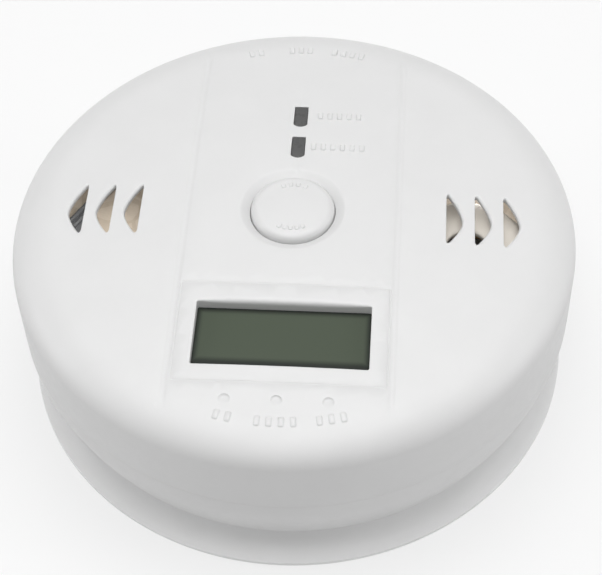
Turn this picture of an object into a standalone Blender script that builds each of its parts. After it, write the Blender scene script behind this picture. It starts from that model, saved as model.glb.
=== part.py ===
"""Carbon monoxide detector: a round, battery-powered, surface-mounted alarm.

The detector stands on its mounting base with its face up.
  origin  centre of the base's underside
  +Z      out of the face
  +Y      towards the top of the face, where the indicator lights are
  +X      to the right of somebody who reads the face

Every length in this file is in millimetres. The mesh helpers turn it into metres.
"""

import math

import bmesh
import bpy
from mathutils import Matrix, Vector

MM = 0.001

# Outer shape
BODY_R = 50.0
APEX_Z = 36.8
DOME_R = 41.5
DOME_DROP = 1.5
FILLET_DROP = 4.9
SEAM_Z = 20.0
TAPER_TOP_Z = 16.4
TAPER_MID = (48.6, 11.5)
BODY_BOTTOM = (46.3, 6.0)
ROUND_SIDES = 48

# Walls and clearances
GAP = 0.3
TOP_WALL = 1.7
SIDE_WALL = 1.8
FLOOR_WALL = 1.6
LIP_R = 46.7
LIP_TOP_Z = 22.0

# Mounting base
BASE_R = 49.8
BASE_RIM_H = 1.0
BASE_NECK_R = 45.0
BASE_PLATE_T = 2.0
SOCKET_R = 41.9
SCREW_SLOT_RADIUS = 30.0
SCREW_SLOT_W = 4.2
SCREW_SLOT_L = 11.0
KEYHOLE_R = 4.0
POCKET_COUNT = 12
POCKET_RIB = 1.4

# Quarter-turn fixing
SPIGOT_R = 41.3
LUG_COUNT = 4
LUG_HALF_ANGLE = 6.0
LUG_TRAVEL = 15.0
LUG_INNER_R = 39.3
LUG_Z = (3.6, 5.1)
CHANNEL_INNER_R = 38.9

# Face: button, lights, display, vents
BUTTON_Y = 0.9
BUTTON_R = 7.4
BUTTON_HOLE_R = 7.75
BUTTON_FLANGE_R = 8.6
BUTTON_TOP_Z = 37.45
DISH_R = 9.4
DISH_DEPTH = 0.7
LIGHT_W = 2.4
LIGHT_LENGTH = 5.2
LIGHT_BOW = 0.6
ALARM_LIGHT_Y = 23.7
OPERATE_LIGHT_Y = 15.75
DISPLAY_W = 29.6
DISPLAY_H = 12.7
DISPLAY_Y = -26.45
DISPLAY_TOP_Z = 34.25
DISPLAY_WINDOW = (33.4, 16.0)
GROOVE_X = 18.6
GROOVE_W = 1.0
GROOVE_DEPTH = 0.4
VENT_X = (27.0, 32.0, 37.0)
VENT_BULGE = 2.8
VENT_Y = (-5.5, 6.0)
VENT_APEX_Y = -0.5

# Circuit board
BOARD_R = 45.0
BOARD_Z = (21.0, 22.6)
PART_Z = BOARD_Z[1] + GAP
SENSOR_AT = (-13.5, 29.0)
SENSOR_R = 10.0
SENSOR_LEAD_R = 0.52
BUZZER_AT = (30.8, -2.6)
BUZZER_R = 11.2
SOUND_HOLE_R = 3.75

# Batteries: three AA cells side by side
CELL_R = 7.1
CELL_LENGTH = 50.5
CELL_NUB = (2.75, 1.3)
CELL_PITCH = 15.1
CELL_Z = 10.3
BAY_HALF = (22.85, 28.9)
BAY_WALL = 1.2
BAY_ARCH_R = 7.55
BAY_ROOF_Z = 19.3
CONTACT_T = 0.5

# Screws
CASE_SCREW_XY = (27.2, 26.2)
CASE_SCREW_HEAD_Z = 12.0
BOARD_SCREWS = ((0.0, 39.5), (-23.0, -37.0), (23.0, -37.0))


# ---------------------------------------------------------------- mesh helpers

def ring(radius, z, sides):
    """Corners of a regular polygon, starting on +X."""
    turn = 2 * math.pi / sides
    return [(radius * math.cos(i * turn), radius * math.sin(i * turn), z) for i in range(sides)]


def loft(bm, loops, closed_ends=True):
    """Skins a list of equally long loops, and caps the first and the last."""
    rows = [[bm.verts.new(Vector(p) * MM) for p in loop] for loop in loops]
    for low, high in zip(rows, rows[1:]):
        count = len(low)
        for i in range(count):
            j = (i + 1) % count
            bm.faces.new((low[i], low[j], high[j], high[i]))
    if closed_ends:
        bm.faces.new(list(reversed(rows[0])))
        bm.faces.new(rows[-1])
    return rows


def prism(outline, z0, z1):
    """A straight extrusion of a counter-clockwise outline."""
    bm = bmesh.new()
    loft(bm, [[(x, y, z) for x, y in outline] for z in (z0, z1)])
    return bm


def block(x, y, z):
    """A box from three (low, high) pairs."""
    return prism([(x[0], y[0]), (x[1], y[0]), (x[1], y[1]), (x[0], y[1])], z[0], z[1])


def turned(profile, sides=ROUND_SIDES):
    """Turns a closed (r, z) profile about Z. It runs up the outside and back down the inside."""
    bm = bmesh.new()
    turn = 2 * math.pi / sides
    rows = []
    for r, z in profile:
        if r == 0:
            rows.append([bm.verts.new((0, 0, z * MM))] * sides)
        else:
            rows.append([bm.verts.new((r * MM * math.cos(i * turn), r * MM * math.sin(i * turn), z * MM))
                         for i in range(sides)])
    for low, high in zip(rows, rows[1:] + rows[:1]):
        for i in range(sides):
            j = (i + 1) % sides
            corners = list(dict.fromkeys((low[i], low[j], high[j], high[i])))
            if len(corners) > 2:
                bm.faces.new(corners)
    return bm


def rod(x, y, radius, z0, z1, sides=20):
    """An upright round bar."""
    bm = prism([p[:2] for p in ring(radius, 0, sides)], z0, z1)
    return moved(bm, x, y, 0)


def sector(r0, r1, start, stop, z0, z1, steps=5):
    """A block bent around Z between two angles in degrees."""
    angles = [math.radians(start + (stop - start) * i / steps) for i in range(steps + 1)]
    outer = [(r1 * math.cos(a), r1 * math.sin(a)) for a in angles]
    inner = [(r0 * math.cos(a), r0 * math.sin(a)) for a in reversed(angles)]
    return prism(outer + inner, z0, z1)


def wedge(profile, start, stop, steps=3):
    """Turns a closed (r, z) profile through part of a circle, between two angles in degrees."""
    loops = []
    for i in range(steps + 1):
        a = math.radians(start + (stop - start) * i / steps)
        loops.append([(r * math.cos(a), r * math.sin(a), z) for r, z in profile])
    bm = bmesh.new()
    loft(bm, loops)
    return bm


def moved(bm, x, y, z):
    bmesh.ops.translate(bm, verts=bm.verts, vec=Vector((x, y, z)) * MM)
    return bm


def rotated(bm, degrees, axis):
    bmesh.ops.rotate(bm, verts=bm.verts, matrix=Matrix.Rotation(math.radians(degrees), 3, axis))
    return bm


def joined(parts):
    """Several separate closed shapes in one mesh."""
    whole = bmesh.new()
    for bm in parts:
        mesh = bpy.data.meshes.new("scrap")
        bm.to_mesh(mesh)
        bm.free()
        whole.from_mesh(mesh)
        bpy.data.meshes.remove(mesh)
    return whole


def arc(cx, cy, radius, start, stop, steps):
    """Points on a circle between two angles in degrees."""
    span = [math.radians(start + (stop - start) * i / steps) for i in range(steps + 1)]
    return [(cx + radius * math.cos(a), cy + radius * math.sin(a)) for a in span]


def slot_outline(half_length, radius, steps=6):
    """A round-ended slot along Y."""
    return arc(0, half_length, radius, 0, 180, steps) + arc(0, -half_length, radius, 180, 360, steps)


def rectangle(width, height, corner=0.0, steps=3):
    """A centred rectangle, with rounded corners if asked."""
    x, y = width / 2 - corner, height / 2 - corner
    if corner == 0:
        return [(-x, -y), (x, -y), (x, y), (-x, y)]
    points = []
    for cx, cy, start in ((x, -y, 270), (x, y, 0), (-x, y, 90), (-x, -y, 180)):
        points += arc(cx, cy, corner, start, start + 90, steps)
    return points


def dome_z(radius):
    """Height of the face above the origin plane."""
    return APEX_Z - DOME_DROP * (radius / DOME_R) ** 2


# ------------------------------------------------------------- object helpers

def material(name, color, roughness, metallic=0.0, alpha=1.0):
    mat = bpy.data.materials.new(name)
    mat.use_nodes = True
    shader = mat.node_tree.nodes["Principled BSDF"]
    shader.inputs["Base Color"].default_value = (*color, 1.0)
    shader.inputs["Roughness"].default_value = roughness
    shader.inputs["Metallic"].default_value = metallic
    shader.inputs["Alpha"].default_value = alpha
    return mat


def add(name, bm, mat, parent=None, at=(0, 0, 0), smooth=True):
    """Turns a bmesh into a named object."""
    mesh = bpy.data.meshes.new(name)
    bmesh.ops.recalc_face_normals(bm, faces=bm.faces)
    bm.to_mesh(mesh)
    bm.free()
    mesh.materials.append(mat)
    if smooth:
        mesh.shade_smooth()
        mesh.set_sharp_from_angle(angle=math.radians(35))
    obj = bpy.data.objects.new(name, mesh)
    obj.location = Vector(at) * MM
    obj.parent = parent
    bpy.context.scene.collection.objects.link(obj)
    return obj


def combine(obj, bm, operation):
    """Adds a hidden tool shape and the Boolean that uses it."""
    tool = add(f"tool_{obj.name}_{len(obj.modifiers)}", bm, obj.data.materials[0], smooth=False)
    tool.parent = obj.parent
    tool.location = obj.location
    tool.hide_render = True
    tool.display_type = "WIRE"
    step = obj.modifiers.new(operation.title(), "BOOLEAN")
    step.operation = operation
    step.object = tool


def cut(obj, *shapes):
    combine(obj, joined(shapes), "DIFFERENCE")


def fuse(obj, *shapes):
    combine(obj, joined(shapes), "UNION")


def soften(obj, width, segments=1):
    """Rounds the edges of a moulded or bonded part."""
    bevel = obj.modifiers.new("Bevel", "BEVEL")
    bevel.width = width * MM
    bevel.segments = segments


def case_screw_places():
    x, y = CASE_SCREW_XY
    return [(sx * x, sy * y) for sx in (1, -1) for sy in (1, -1)]


# ------------------------------------------------------------------- housings

def fillet_profile(inset, steps):
    """Elliptical edge from the face to the side wall, set in by a wall thickness."""
    across = BODY_R - DOME_R - inset * 0.2
    down = FILLET_DROP
    centre_r = BODY_R - inset - across
    centre_z = dome_z(DOME_R) - inset * TOP_WALL / SIDE_WALL - down
    turns = [math.pi / 2 * i / steps for i in range(steps + 1)]
    return [(centre_r + across * math.sin(t), centre_z + down * math.cos(t)) for t in turns]


def vent_outline(x, side):
    """Vent with a flat inner edge and an outward bulge that meet in rounded tips."""
    low, high = VENT_Y
    tip = 0.8
    bulge = []
    for end in (low, high):
        reach = abs(end - VENT_APEX_Y)
        for share in (0.0, 0.2, 0.4, 0.6, 0.8, 1.0):
            y = VENT_APEX_Y + (end - VENT_APEX_Y) * share * (1 - tip / reach)
            out = VENT_BULGE * (1 - (abs(y - VENT_APEX_Y) / (reach + 0.2)) ** 1.6)
            bulge.append((x + out, y))
    lower, upper = bulge[:6], bulge[7:]
    points = [(x, low + tip), (x + 0.1, low + 0.15), (x + 0.35, low)] + lower[::-1] + upper
    points += [(x + 0.35, high), (x + 0.1, high - 0.15), (x, high - tip)]
    return points if side > 0 else [(-px, py) for px, py in reversed(points)]


def light_outline(extra=0.0):
    """Indicator window: square at the far end, bowed at the near end."""
    half = LIGHT_W / 2 + extra
    far = LIGHT_LENGTH / 2 + extra
    radius = (half ** 2 + LIGHT_BOW ** 2) / (2 * LIGHT_BOW)
    sweep = math.degrees(math.asin(half / radius))
    return [(half, far), (-half, far)] + arc(0, radius - far, radius, 270 - sweep, 270 + sweep, 8)


def groove_cutter(x):
    """A shallow straight groove that follows the face from front to back."""
    bm = bmesh.new()
    reach = math.sqrt(DOME_R ** 2 - x ** 2) + 6.0
    steps = 12
    ys = [-reach + 2 * reach * i / steps for i in range(steps + 1)]
    low = [(y, min(dome_z(math.hypot(x, y)), dome_z(DOME_R)) - GROOVE_DEPTH) for y in ys]
    outline = low + [(reach, APEX_Z + 2), (-reach, APEX_Z + 2)]
    sides = [[(x + dx, y, z) for y, z in outline] for dx in (-GROOVE_W / 2, GROOVE_W / 2)]
    loft(bm, sides)
    return bm


def front_cover(parent, mat):
    outer = [(BODY_R, SEAM_Z + GAP / 2)]
    outer += reversed(fillet_profile(0.0, 6))
    outer += [(r, dome_z(r)) for r in (30.0, 18.0)] + [(0, APEX_Z)]
    inner = [(0, APEX_Z - TOP_WALL), (30.0, dome_z(30.0) - TOP_WALL)]
    inner += fillet_profile(SIDE_WALL, 4)
    inner += [(BODY_R - SIDE_WALL, SEAM_Z + GAP / 2)]
    cover = add("front_cover", turned(outer + inner), mat, parent)

    pillars = [rod(x, y, 3.2, BOARD_Z[0] - 1.3, dome_z(math.hypot(x, y)) - 0.8)
               for x, y in case_screw_places()]
    posts = [rod(x, y, 2.5, PART_Z, dome_z(DOME_R) - 1.0, 16) for x, y in BOARD_SCREWS]
    fuse(cover, *pillars, *posts)
    cut(cover,
        *[rod(x, y, 1.5, SEAM_Z - 5, 31.0, 12) for x, y in case_screw_places()],
        *[rod(x, y, 1.2, PART_Z - 2, 31.0, 12) for x, y in BOARD_SCREWS])

    dish = turned([(0, dome_z(0) - DISH_DEPTH), (BUTTON_HOLE_R, dome_z(0) - DISH_DEPTH),
                   (DISH_R, dome_z(DISH_R)), (DISH_R, APEX_Z + 2), (0, APEX_Z + 2)], 36)
    cut(cover, moved(dish, 0, BUTTON_Y, 0))
    vents = [prism(vent_outline(x, side), 30.0, APEX_Z + 2) for x in VENT_X for side in (1, -1)]
    lights = [moved(prism(light_outline(GAP), 30.0, APEX_Z + 2), 0, y, 0)
              for y in (ALARM_LIGHT_Y, OPERATE_LIGHT_Y)]
    window = moved(prism(rectangle(DISPLAY_W, DISPLAY_H, 0.6), 30.0, APEX_Z + 2), 0, DISPLAY_Y, 0)
    seat = [size + 2 * GAP for size in DISPLAY_WINDOW]
    seat = moved(prism(rectangle(*seat, 1.0), 30.0, DISPLAY_TOP_Z + GAP), 0, DISPLAY_Y, 0)
    hole = rod(0, BUTTON_Y, BUTTON_HOLE_R, 30.0, APEX_Z + 2, 36)
    cut(cover, hole, window, *vents, *lights)
    cut(cover, seat)
    cut(cover, groove_cutter(GROOVE_X), groove_cutter(-GROOVE_X))
    return cover


def channel_cutters():
    """L-shaped ways for the base's lugs: a slot to enter by, and a channel to turn along."""
    shapes = []
    clear = 1.0
    free = LUG_HALF_ANGLE + clear
    for i in range(LUG_COUNT):
        lug = i * 360 / LUG_COUNT
        outside = SPIGOT_R + 1.5
        shapes.append(sector(CHANNEL_INNER_R, outside, lug - LUG_TRAVEL - free, lug + free,
                             LUG_Z[0] - GAP, LUG_Z[1] + GAP, 7))
    entries = []
    for i in range(LUG_COUNT):
        lug = i * 360 / LUG_COUNT - LUG_TRAVEL
        entries.append(sector(CHANNEL_INNER_R, SPIGOT_R + 1.5, lug - free, lug + free,
                              0.0, LUG_Z[0] + 0.5))
    return shapes, entries


def rear_housing(parent, mat):
    floor_z = BASE_PLATE_T + GAP
    spigot_inner_r = 37.8
    outer = [(0, floor_z), (SPIGOT_R, floor_z), (SPIGOT_R, BODY_BOTTOM[1]), BODY_BOTTOM, TAPER_MID,
             (BODY_R, TAPER_TOP_Z), (BODY_R, SEAM_Z - GAP / 2)]
    lip = [(BODY_R - SIDE_WALL - GAP, SEAM_Z - GAP / 2), (BODY_R - SIDE_WALL - GAP, LIP_TOP_Z),
           (LIP_R, LIP_TOP_Z)]
    inner = [(LIP_R, TAPER_TOP_Z), (TAPER_MID[0] - SIDE_WALL, TAPER_MID[1]),
             (BODY_BOTTOM[0] - SIDE_WALL, BODY_BOTTOM[1] + FLOOR_WALL),
             (spigot_inner_r, BODY_BOTTOM[1] + FLOOR_WALL),
             (spigot_inner_r, floor_z + FLOOR_WALL), (0, floor_z + FLOOR_WALL)]
    shell = add("rear_housing", turned(outer + lip + inner), mat, parent)

    bay_x, bay_y = BAY_HALF
    bay = block((-bay_x - BAY_WALL, bay_x + BAY_WALL), (-bay_y - BAY_WALL, bay_y + BAY_WALL),
                (floor_z + 0.5, BAY_ROOF_Z))
    fuse(shell, bay)
    fuse(shell, *[rod(x, y, 3.5, floor_z + 0.4, SEAM_Z - 0.9) for x, y in case_screw_places()])

    arch_top = CELL_Z + 2.7
    cut(shell, block((-bay_x, bay_x), (-bay_y, bay_y), (0.0, arch_top)))
    arches = []
    for i in (-1, 0, 1):
        arch = rod(0, 0, BAY_ARCH_R, -bay_y, bay_y, 24)
        arches.append(moved(rotated(arch, 90, "X"), i * CELL_PITCH, 0, CELL_Z))
    cut(shell, *arches)
    cut(shell, *[rod(x, y, 1.6, 0.0, SEAM_Z + 2, 12) for x, y in case_screw_places()])
    cut(shell, *[rod(x, y, 2.7, 0.0, CASE_SCREW_HEAD_Z, 16) for x, y in case_screw_places()])
    cut(shell, *[moved(block((-1.9, 1.9), (-0.6, 0.6), (CELL_Z, SEAM_Z + 2)), x, y, 0)
                 for x, y in terminal_places()])
    channels, entries = channel_cutters()
    cut(shell, *channels)
    cut(shell, *entries)
    return shell


def mounting_base(mat):
    across, up = BASE_R - BASE_NECK_R, BODY_BOTTOM[1] - GAP - BASE_RIM_H
    cove = []
    for i in range(7):
        t = math.pi / 2 * i / 6
        cove.append((BASE_R - across * math.sin(t), BASE_RIM_H + up * (1 - math.cos(t))))
    outer = [(0, 0), (BASE_R - 0.4, 0), (BASE_R, 0.4)] + cove
    inner = [(SOCKET_R + 0.3, BODY_BOTTOM[1] - GAP), (SOCKET_R, BODY_BOTTOM[1] - GAP - 0.3),
             (SOCKET_R, BASE_PLATE_T), (0, BASE_PLATE_T)]
    base = add("mounting_base", turned(outer + inner), mat)

    angles = [i * 360 / LUG_COUNT for i in range(LUG_COUNT)]
    fuse(base, *[sector(LUG_INNER_R, SOCKET_R + 1.0, a - LUG_HALF_ANGLE, a + LUG_HALF_ANGLE,
                        LUG_Z[0], LUG_Z[1]) for a in angles])
    cut(base, *[sector(LUG_INNER_R - 0.3, SOCKET_R - 0.6, a - LUG_HALF_ANGLE - 1,
                       a + LUG_HALF_ANGLE + 1, -1.0, BASE_PLATE_T + 0.5) for a in angles])
    slot = slot_outline(SCREW_SLOT_L / 2 - SCREW_SLOT_W / 2, SCREW_SLOT_W / 2)
    slots = [moved(prism(slot, -1.0, 4.0), sx * SCREW_SLOT_RADIUS, 0, 0) for sx in (1, -1)]
    slots += [keyhole_cutter(0, sy * SCREW_SLOT_RADIUS) for sy in (1, -1)]
    cut(base, *slots)
    cut(base, *skirt_pockets())
    return base


def skirt_pockets():
    """Hollows under the flared skirt, with a rib left between each two."""
    profile = [(43.2, -1.0), (47.6, -1.0), (47.6, 0.3), (45.4, 2.9), (43.2, 4.0)]
    pitch = 360 / POCKET_COUNT
    half = pitch / 2 - math.degrees(POCKET_RIB / 2 / profile[0][0])
    return [wedge(profile, (i + 0.5) * pitch - half, (i + 0.5) * pitch + half)
            for i in range(POCKET_COUNT)]


def keyhole_cutter(x, y):
    """A keyhole along X: a round entry for a screw head, and a slot for its shank."""
    half = SCREW_SLOT_W / 2
    reach = SCREW_SLOT_L - half
    start = math.degrees(math.asin(half / KEYHOLE_R))
    outline = arc(0, 0, KEYHOLE_R, start, 360 - start, 16) + arc(reach, 0, half, -90, 90, 6)
    return moved(prism(outline, -1.0, 4.0), x, y, 0)


# ------------------------------------------------------------ button and lights

def test_button(parent, mat):
    """Cap with a retaining flange and a stem that reaches for the switch below."""
    top = BUTTON_TOP_Z
    flange_z = dome_z(0) - TOP_WALL - GAP
    profile = [(0, 28.2), (1.8, 28.2), (1.8, 35.5), (6.1, 35.2), (6.1, flange_z - 1.2),
               (BUTTON_FLANGE_R, flange_z - 1.2), (BUTTON_FLANGE_R, flange_z), (BUTTON_R, flange_z),
               (BUTTON_R, top - 1.2), (BUTTON_R - 0.3, top - 0.5), (BUTTON_R - 1.1, top - 0.12),
               (4.0, top - 0.03), (0, top)]
    profile = [(r, z - top) for r, z in profile]
    return add("test_button", turned(profile, 28), mat, parent, at=(0, BUTTON_Y, top))


def light_window(name, y, parent, mat):
    """Smoked lens in the face, on a flange, with a light pipe down towards the LED."""
    top = dome_z(y + LIGHT_LENGTH / 2) - 0.1
    flange_z = dome_z(y) - TOP_WALL - 0.5
    window = add(name, moved(prism(light_outline(), flange_z - 0.6, top), 0, y, 0), mat, parent)
    fuse(window, moved(prism(rectangle(4.6, LIGHT_LENGTH + 1.8), flange_z - 1.2, flange_z), 0, y, 0))
    fuse(window, rod(0, y, 1.5, 28.0, flange_z - 0.6, 16))
    return window


def led(name, y, parent, mat):
    """Three-millimetre LED with its collar."""
    profile = [(0, PART_Z), (1.9, PART_Z), (1.9, PART_Z + 1.0), (1.5, PART_Z + 1.0),
               (1.5, PART_Z + 3.2), (1.1, PART_Z + 4.2), (0, PART_Z + 4.6)]
    return add(name, moved(turned(profile, 16), 0, y, 0), mat, parent)


def test_switch(parent, body_mat, plunger_mat):
    """Tact switch under the button; its plunger moves by itself."""
    top = PART_Z + 3.4
    body = add("switch_body", moved(block((-3, 3), (-3, 3), (PART_Z, top)), 0, BUTTON_Y, 0),
               body_mat, parent, smooth=False)
    cut(body, rod(0, BUTTON_Y, 2.1, top - 1.6, top + 1, 16))
    plunger_top = 27.6
    profile = [(0, top - 1.2), (1.75, top - 1.2), (1.75, plunger_top - 0.2), (1.55, plunger_top),
               (0, plunger_top)]
    profile = [(r, z - plunger_top) for r, z in profile]
    add("switch_plunger", turned(profile, 16), plunger_mat, parent, at=(0, BUTTON_Y, plunger_top))


# -------------------------------------------------------------------- display

def display(parent, mats):
    """Window, glass panel, diffuser, contact strips and the frame that holds them to the board."""
    window_top = DISPLAY_TOP_Z
    panel = (window_top - 4.2, window_top - 1.7)
    width, height = 32.4, 14.9

    def plate(name, w, h, z, mat, y=0.0, corner=0.0):
        shape = moved(prism(rectangle(w, h, corner), *z), 0, DISPLAY_Y + y, 0)
        return add(name, shape, mat, parent, smooth=False)

    plate("display_window", *DISPLAY_WINDOW, (window_top - 1.4, window_top), mats["window"], corner=1.0)
    plate("display_panel", width, height, panel, mats["panel"])
    plate("display_diffuser", width - 2, 10.0, (panel[0] - 2.3, panel[0] - GAP), mats["diffuser"])
    strip_y = height / 2 - 1.0
    for name, side in (("upper", 1), ("lower", -1)):
        plate(f"display_zebra_strip_{name}", width - 2, 1.4, (PART_Z, panel[0] - GAP), mats["strip"],
              y=side * strip_y)
    frame = plate("display_frame", width + 3.2, height + 3.2, (PART_Z, panel[1] - GAP), mats["frame"],
                  corner=1.0)
    cut(frame, moved(prism(rectangle(width + 0.6, height + 0.6), PART_Z - 1, panel[1] + 1),
                     0, DISPLAY_Y, 0))


# ---------------------------------------------------------------- electronics

def circuit_board(parent, mat):
    disc = prism([p[:2] for p in ring(BOARD_R, 0, ROUND_SIDES)], *BOARD_Z)
    board = add("circuit_board", disc, mat, parent)
    low, high = BOARD_Z[0] - 1, BOARD_Z[1] + 1
    cut(board, *[rod(x * 1.1, y * 1.1, 7.3, low, high) for x, y in case_screw_places()],
        *[rod(x, y, 1.4, low, high, 12) for x, y in BOARD_SCREWS],
        *[moved(block((-1.9, 1.9), (-0.7, 0.7), (low, high)), x, y, 0) for x, y in terminal_places()])
    return board


def co_sensor(parent, mat):
    """Electrochemical cell: a crimped can with a filter cap and a gas inlet."""
    z0, z1 = PART_Z, PART_Z + 9.5
    r = SENSOR_R
    profile = [(0, z0), (r - 0.6, z0), (r, z0 + 0.6), (r, z0 + 6.4), (r - 0.7, z0 + 6.8),
               (r - 0.7, z0 + 7.4), (r - 0.2, z0 + 7.9), (r - 0.2, z1 - 0.5), (r - 0.7, z1),
               (7.2, z1), (7.0, z1 - 0.6), (1.2, z1 - 0.6), (1.2, z1 - 1.8), (0, z1 - 1.8)]
    return add("co_sensor", moved(turned(profile, 24), *SENSOR_AT, 0), mat, parent)


def buzzer(parent, mats):
    """Resonator cup over a piezo disc, with its two leads."""
    z0, z1 = PART_Z, PART_Z + 8.9
    r = BUZZER_R
    x, y = BUZZER_AT
    ledge_z = z0 + 3.4
    cup = [(r - 1.2, z0), (r, z0), (r, z1 - 0.6), (r - 0.6, z1), (SOUND_HOLE_R, z1), (SOUND_HOLE_R, z1 - 1.2),
           (r - 2.3, z1 - 1.2), (r - 2.3, ledge_z), (r - 1.2, ledge_z)]
    add("buzzer_housing", moved(turned(cup, 28), x, y, 0), mats["cup"], parent)
    disc = (ledge_z - GAP - 0.5, ledge_z - GAP)
    add("piezo_disc", rod(x, y, r - 1.6, *disc, 24), mats["disc"], parent)
    for name, side in (("red", 1), ("black", -1)):
        start = Vector((x + 1.5, y + side * 2.0, disc[0] - GAP - 0.35))
        bend = Vector((x + 4.0, y + side * 4.0, disc[0] - GAP - 0.35))
        end = Vector((x + 5.5, y + side * 5.5, z0))
        wire(f"buzzer_lead_{name}", curved(start, bend, end, 8), 0.35, mats[name], parent)


def sensor_leads(parent, mat):
    """Two leads side by side, from pads near the left vents to the cell."""
    z = PART_Z + SENSOR_LEAD_R
    apart = SENSOR_LEAD_R + GAP / 2
    reach = SENSOR_R + GAP + 0.1
    pad, corner = Vector((-42.1, 6.4, z)), Vector((-34.8, 18.8, z))
    along = (corner - pad).normalized()
    across = Vector((-along.y, along.x, 0)) * apart
    for index, side, angle in ((1, 1, 221), (2, -1, 229)):
        first = pad + across * side
        middle = corner + (across + along * apart * 0.6) * side
        a = math.radians(angle)
        terminal = Vector((SENSOR_AT[0] + reach * math.cos(a), SENSOR_AT[1] + reach * math.sin(a), z))
        bend = first.lerp(middle, 0.75)
        after = middle.lerp(terminal, 0.35)
        points = [first, first.lerp(bend, 0.5)] + curved(bend, middle, after, 8)
        points.append(terminal)
        wire(f"sensor_lead_{index}", points, SENSOR_LEAD_R, mat, parent)


def curved(start, bend, end, steps):
    """A smooth curve that leaves start towards bend, and reaches end from it."""
    points = []
    for i in range(steps + 1):
        t = i / steps
        points.append(start * (1 - t) ** 2 + bend * 2 * t * (1 - t) + end * t ** 2)
    return points


def wire(name, points, radius, mat, parent, resolution=2):
    """A round wire along a list of points."""
    curve = bpy.data.curves.new(name, "CURVE")
    curve.dimensions = "3D"
    spline = curve.splines.new("POLY")
    spline.points.add(len(points) - 1)
    for point, place in zip(spline.points, points):
        point.co = (*(place * MM), 1.0)
    curve.bevel_depth = radius * MM
    curve.bevel_resolution = resolution
    curve.use_fill_caps = True
    curve.materials.append(mat)
    obj = bpy.data.objects.new(name, curve)
    obj.parent = parent
    bpy.context.scene.collection.objects.link(obj)


def board_parts(parent, mats):
    """The rest of what is soldered to the board."""
    def chip(name, x, y, w, h, tall, mat):
        shape = block((x - w / 2, x + w / 2), (y - h / 2, y + h / 2), (PART_Z, PART_Z + tall))
        soften(add(name, shape, mat, parent, smooth=False), 0.15)

    chip("microcontroller", 0, -10.0, 9.0, 9.0, 1.5, mats["chip"])
    chip("memory_chip", -12.0, -10.0, 5.0, 4.0, 1.5, mats["chip"])
    chip("driver_chip", 15.0, 21.0, 5.0, 4.0, 1.5, mats["chip"])
    for i, (x, y) in enumerate(((-8.0, 12.0), (-8.0, 15.5), (8.0, 12.0), (8.0, 15.5)), 1):
        chip(f"chip_resistor_{i}", x, y, 3.2, 1.6, 0.7, mats["resistor"])

    z = PART_Z
    can = [(0, z), (4.0, z), (4.0, z + 1.2), (3.7, z + 1.6), (4.0, z + 2.0), (4.0, z + 8.1),
           (3.6, z + 8.5), (0, z + 8.5)]
    add("storage_capacitor", moved(turned(can, 16), -36.0, -14.0, 0), mats["capacitor"], parent)
    drum = [(0, z), (4.2, z), (4.2, z + 1.0), (3.4, z + 1.3), (3.4, z + 5.7), (4.2, z + 6.0),
            (4.2, z + 7.0), (0, z + 7.0)]
    add("step_up_coil", moved(turned(drum, 16), 12.0, 30.0, 0), mats["coil"], parent)
    crystal = moved(prism(rectangle(10.8, 4.4, 2.1, 4), z, z + 3.4), 12.0, -10.0, 0)
    soften(add("clock_crystal", crystal, mats["crystal"], parent, smooth=False), 0.3)


# ------------------------------------------------------------------ batteries

def cell_places():
    """x, and the side that the positive end faces, for each cell."""
    return [(-CELL_PITCH, 1), (0.0, -1), (CELL_PITCH, 1)]


def terminal_places():
    """Where the two solder tabs rise: negative of the first cell, positive of the last."""
    y = BAY_HALF[1] - GAP - CONTACT_T / 2
    return [(-CELL_PITCH, -y), (CELL_PITCH, y)]


def battery(index, x, facing, parent, mat):
    nub_r, nub_h = CELL_NUB
    length = CELL_LENGTH
    body = length - nub_h
    profile = [(0, 0), (CELL_R - 0.5, 0), (CELL_R, 0.5), (CELL_R, body - 0.5), (CELL_R - 0.5, body),
               (nub_r, body), (nub_r, length - 0.2), (nub_r - 0.3, length), (0, length)]
    cell = rotated(turned(profile, 20), -90 * facing, "X")
    tip = BAY_HALF[1] - 2 * GAP - CONTACT_T
    place = (x, facing * (tip - length), CELL_Z)
    return add(f"battery_{index}", cell, mat, parent, at=place)


def battery_spring(index, x, facing, parent, mat):
    """Conical contact spring, pressed against the cell's negative end."""
    turns, steps = 3, 27
    tip = BAY_HALF[1] - 2 * GAP - CONTACT_T
    wire_r = 0.35
    back = tip - wire_r
    front = CELL_LENGTH - tip + GAP + wire_r
    points = []
    for i in range(steps + 1):
        t = i / steps
        radius = 4.2 - 1.9 * t
        angle = 2 * math.pi * turns * t
        points.append(Vector((x + radius * math.cos(angle), -facing * (back + (front - back) * t),
                              CELL_Z + radius * math.sin(angle))))
    wire(f"battery_spring_{index}", points, wire_r, mat, parent, resolution=1)


def contact_plate(name, outline, side, parent, mat):
    """A flat strip that stands against one end wall of the battery bay; outline is (x, z)."""
    y = BAY_HALF[1] - GAP - CONTACT_T / 2
    shape = rotated(prism(outline, -CONTACT_T / 2, CONTACT_T / 2), 90, "X")
    return add(name, moved(shape, 0, side * y, 0), mat, parent, smooth=False)


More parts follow.
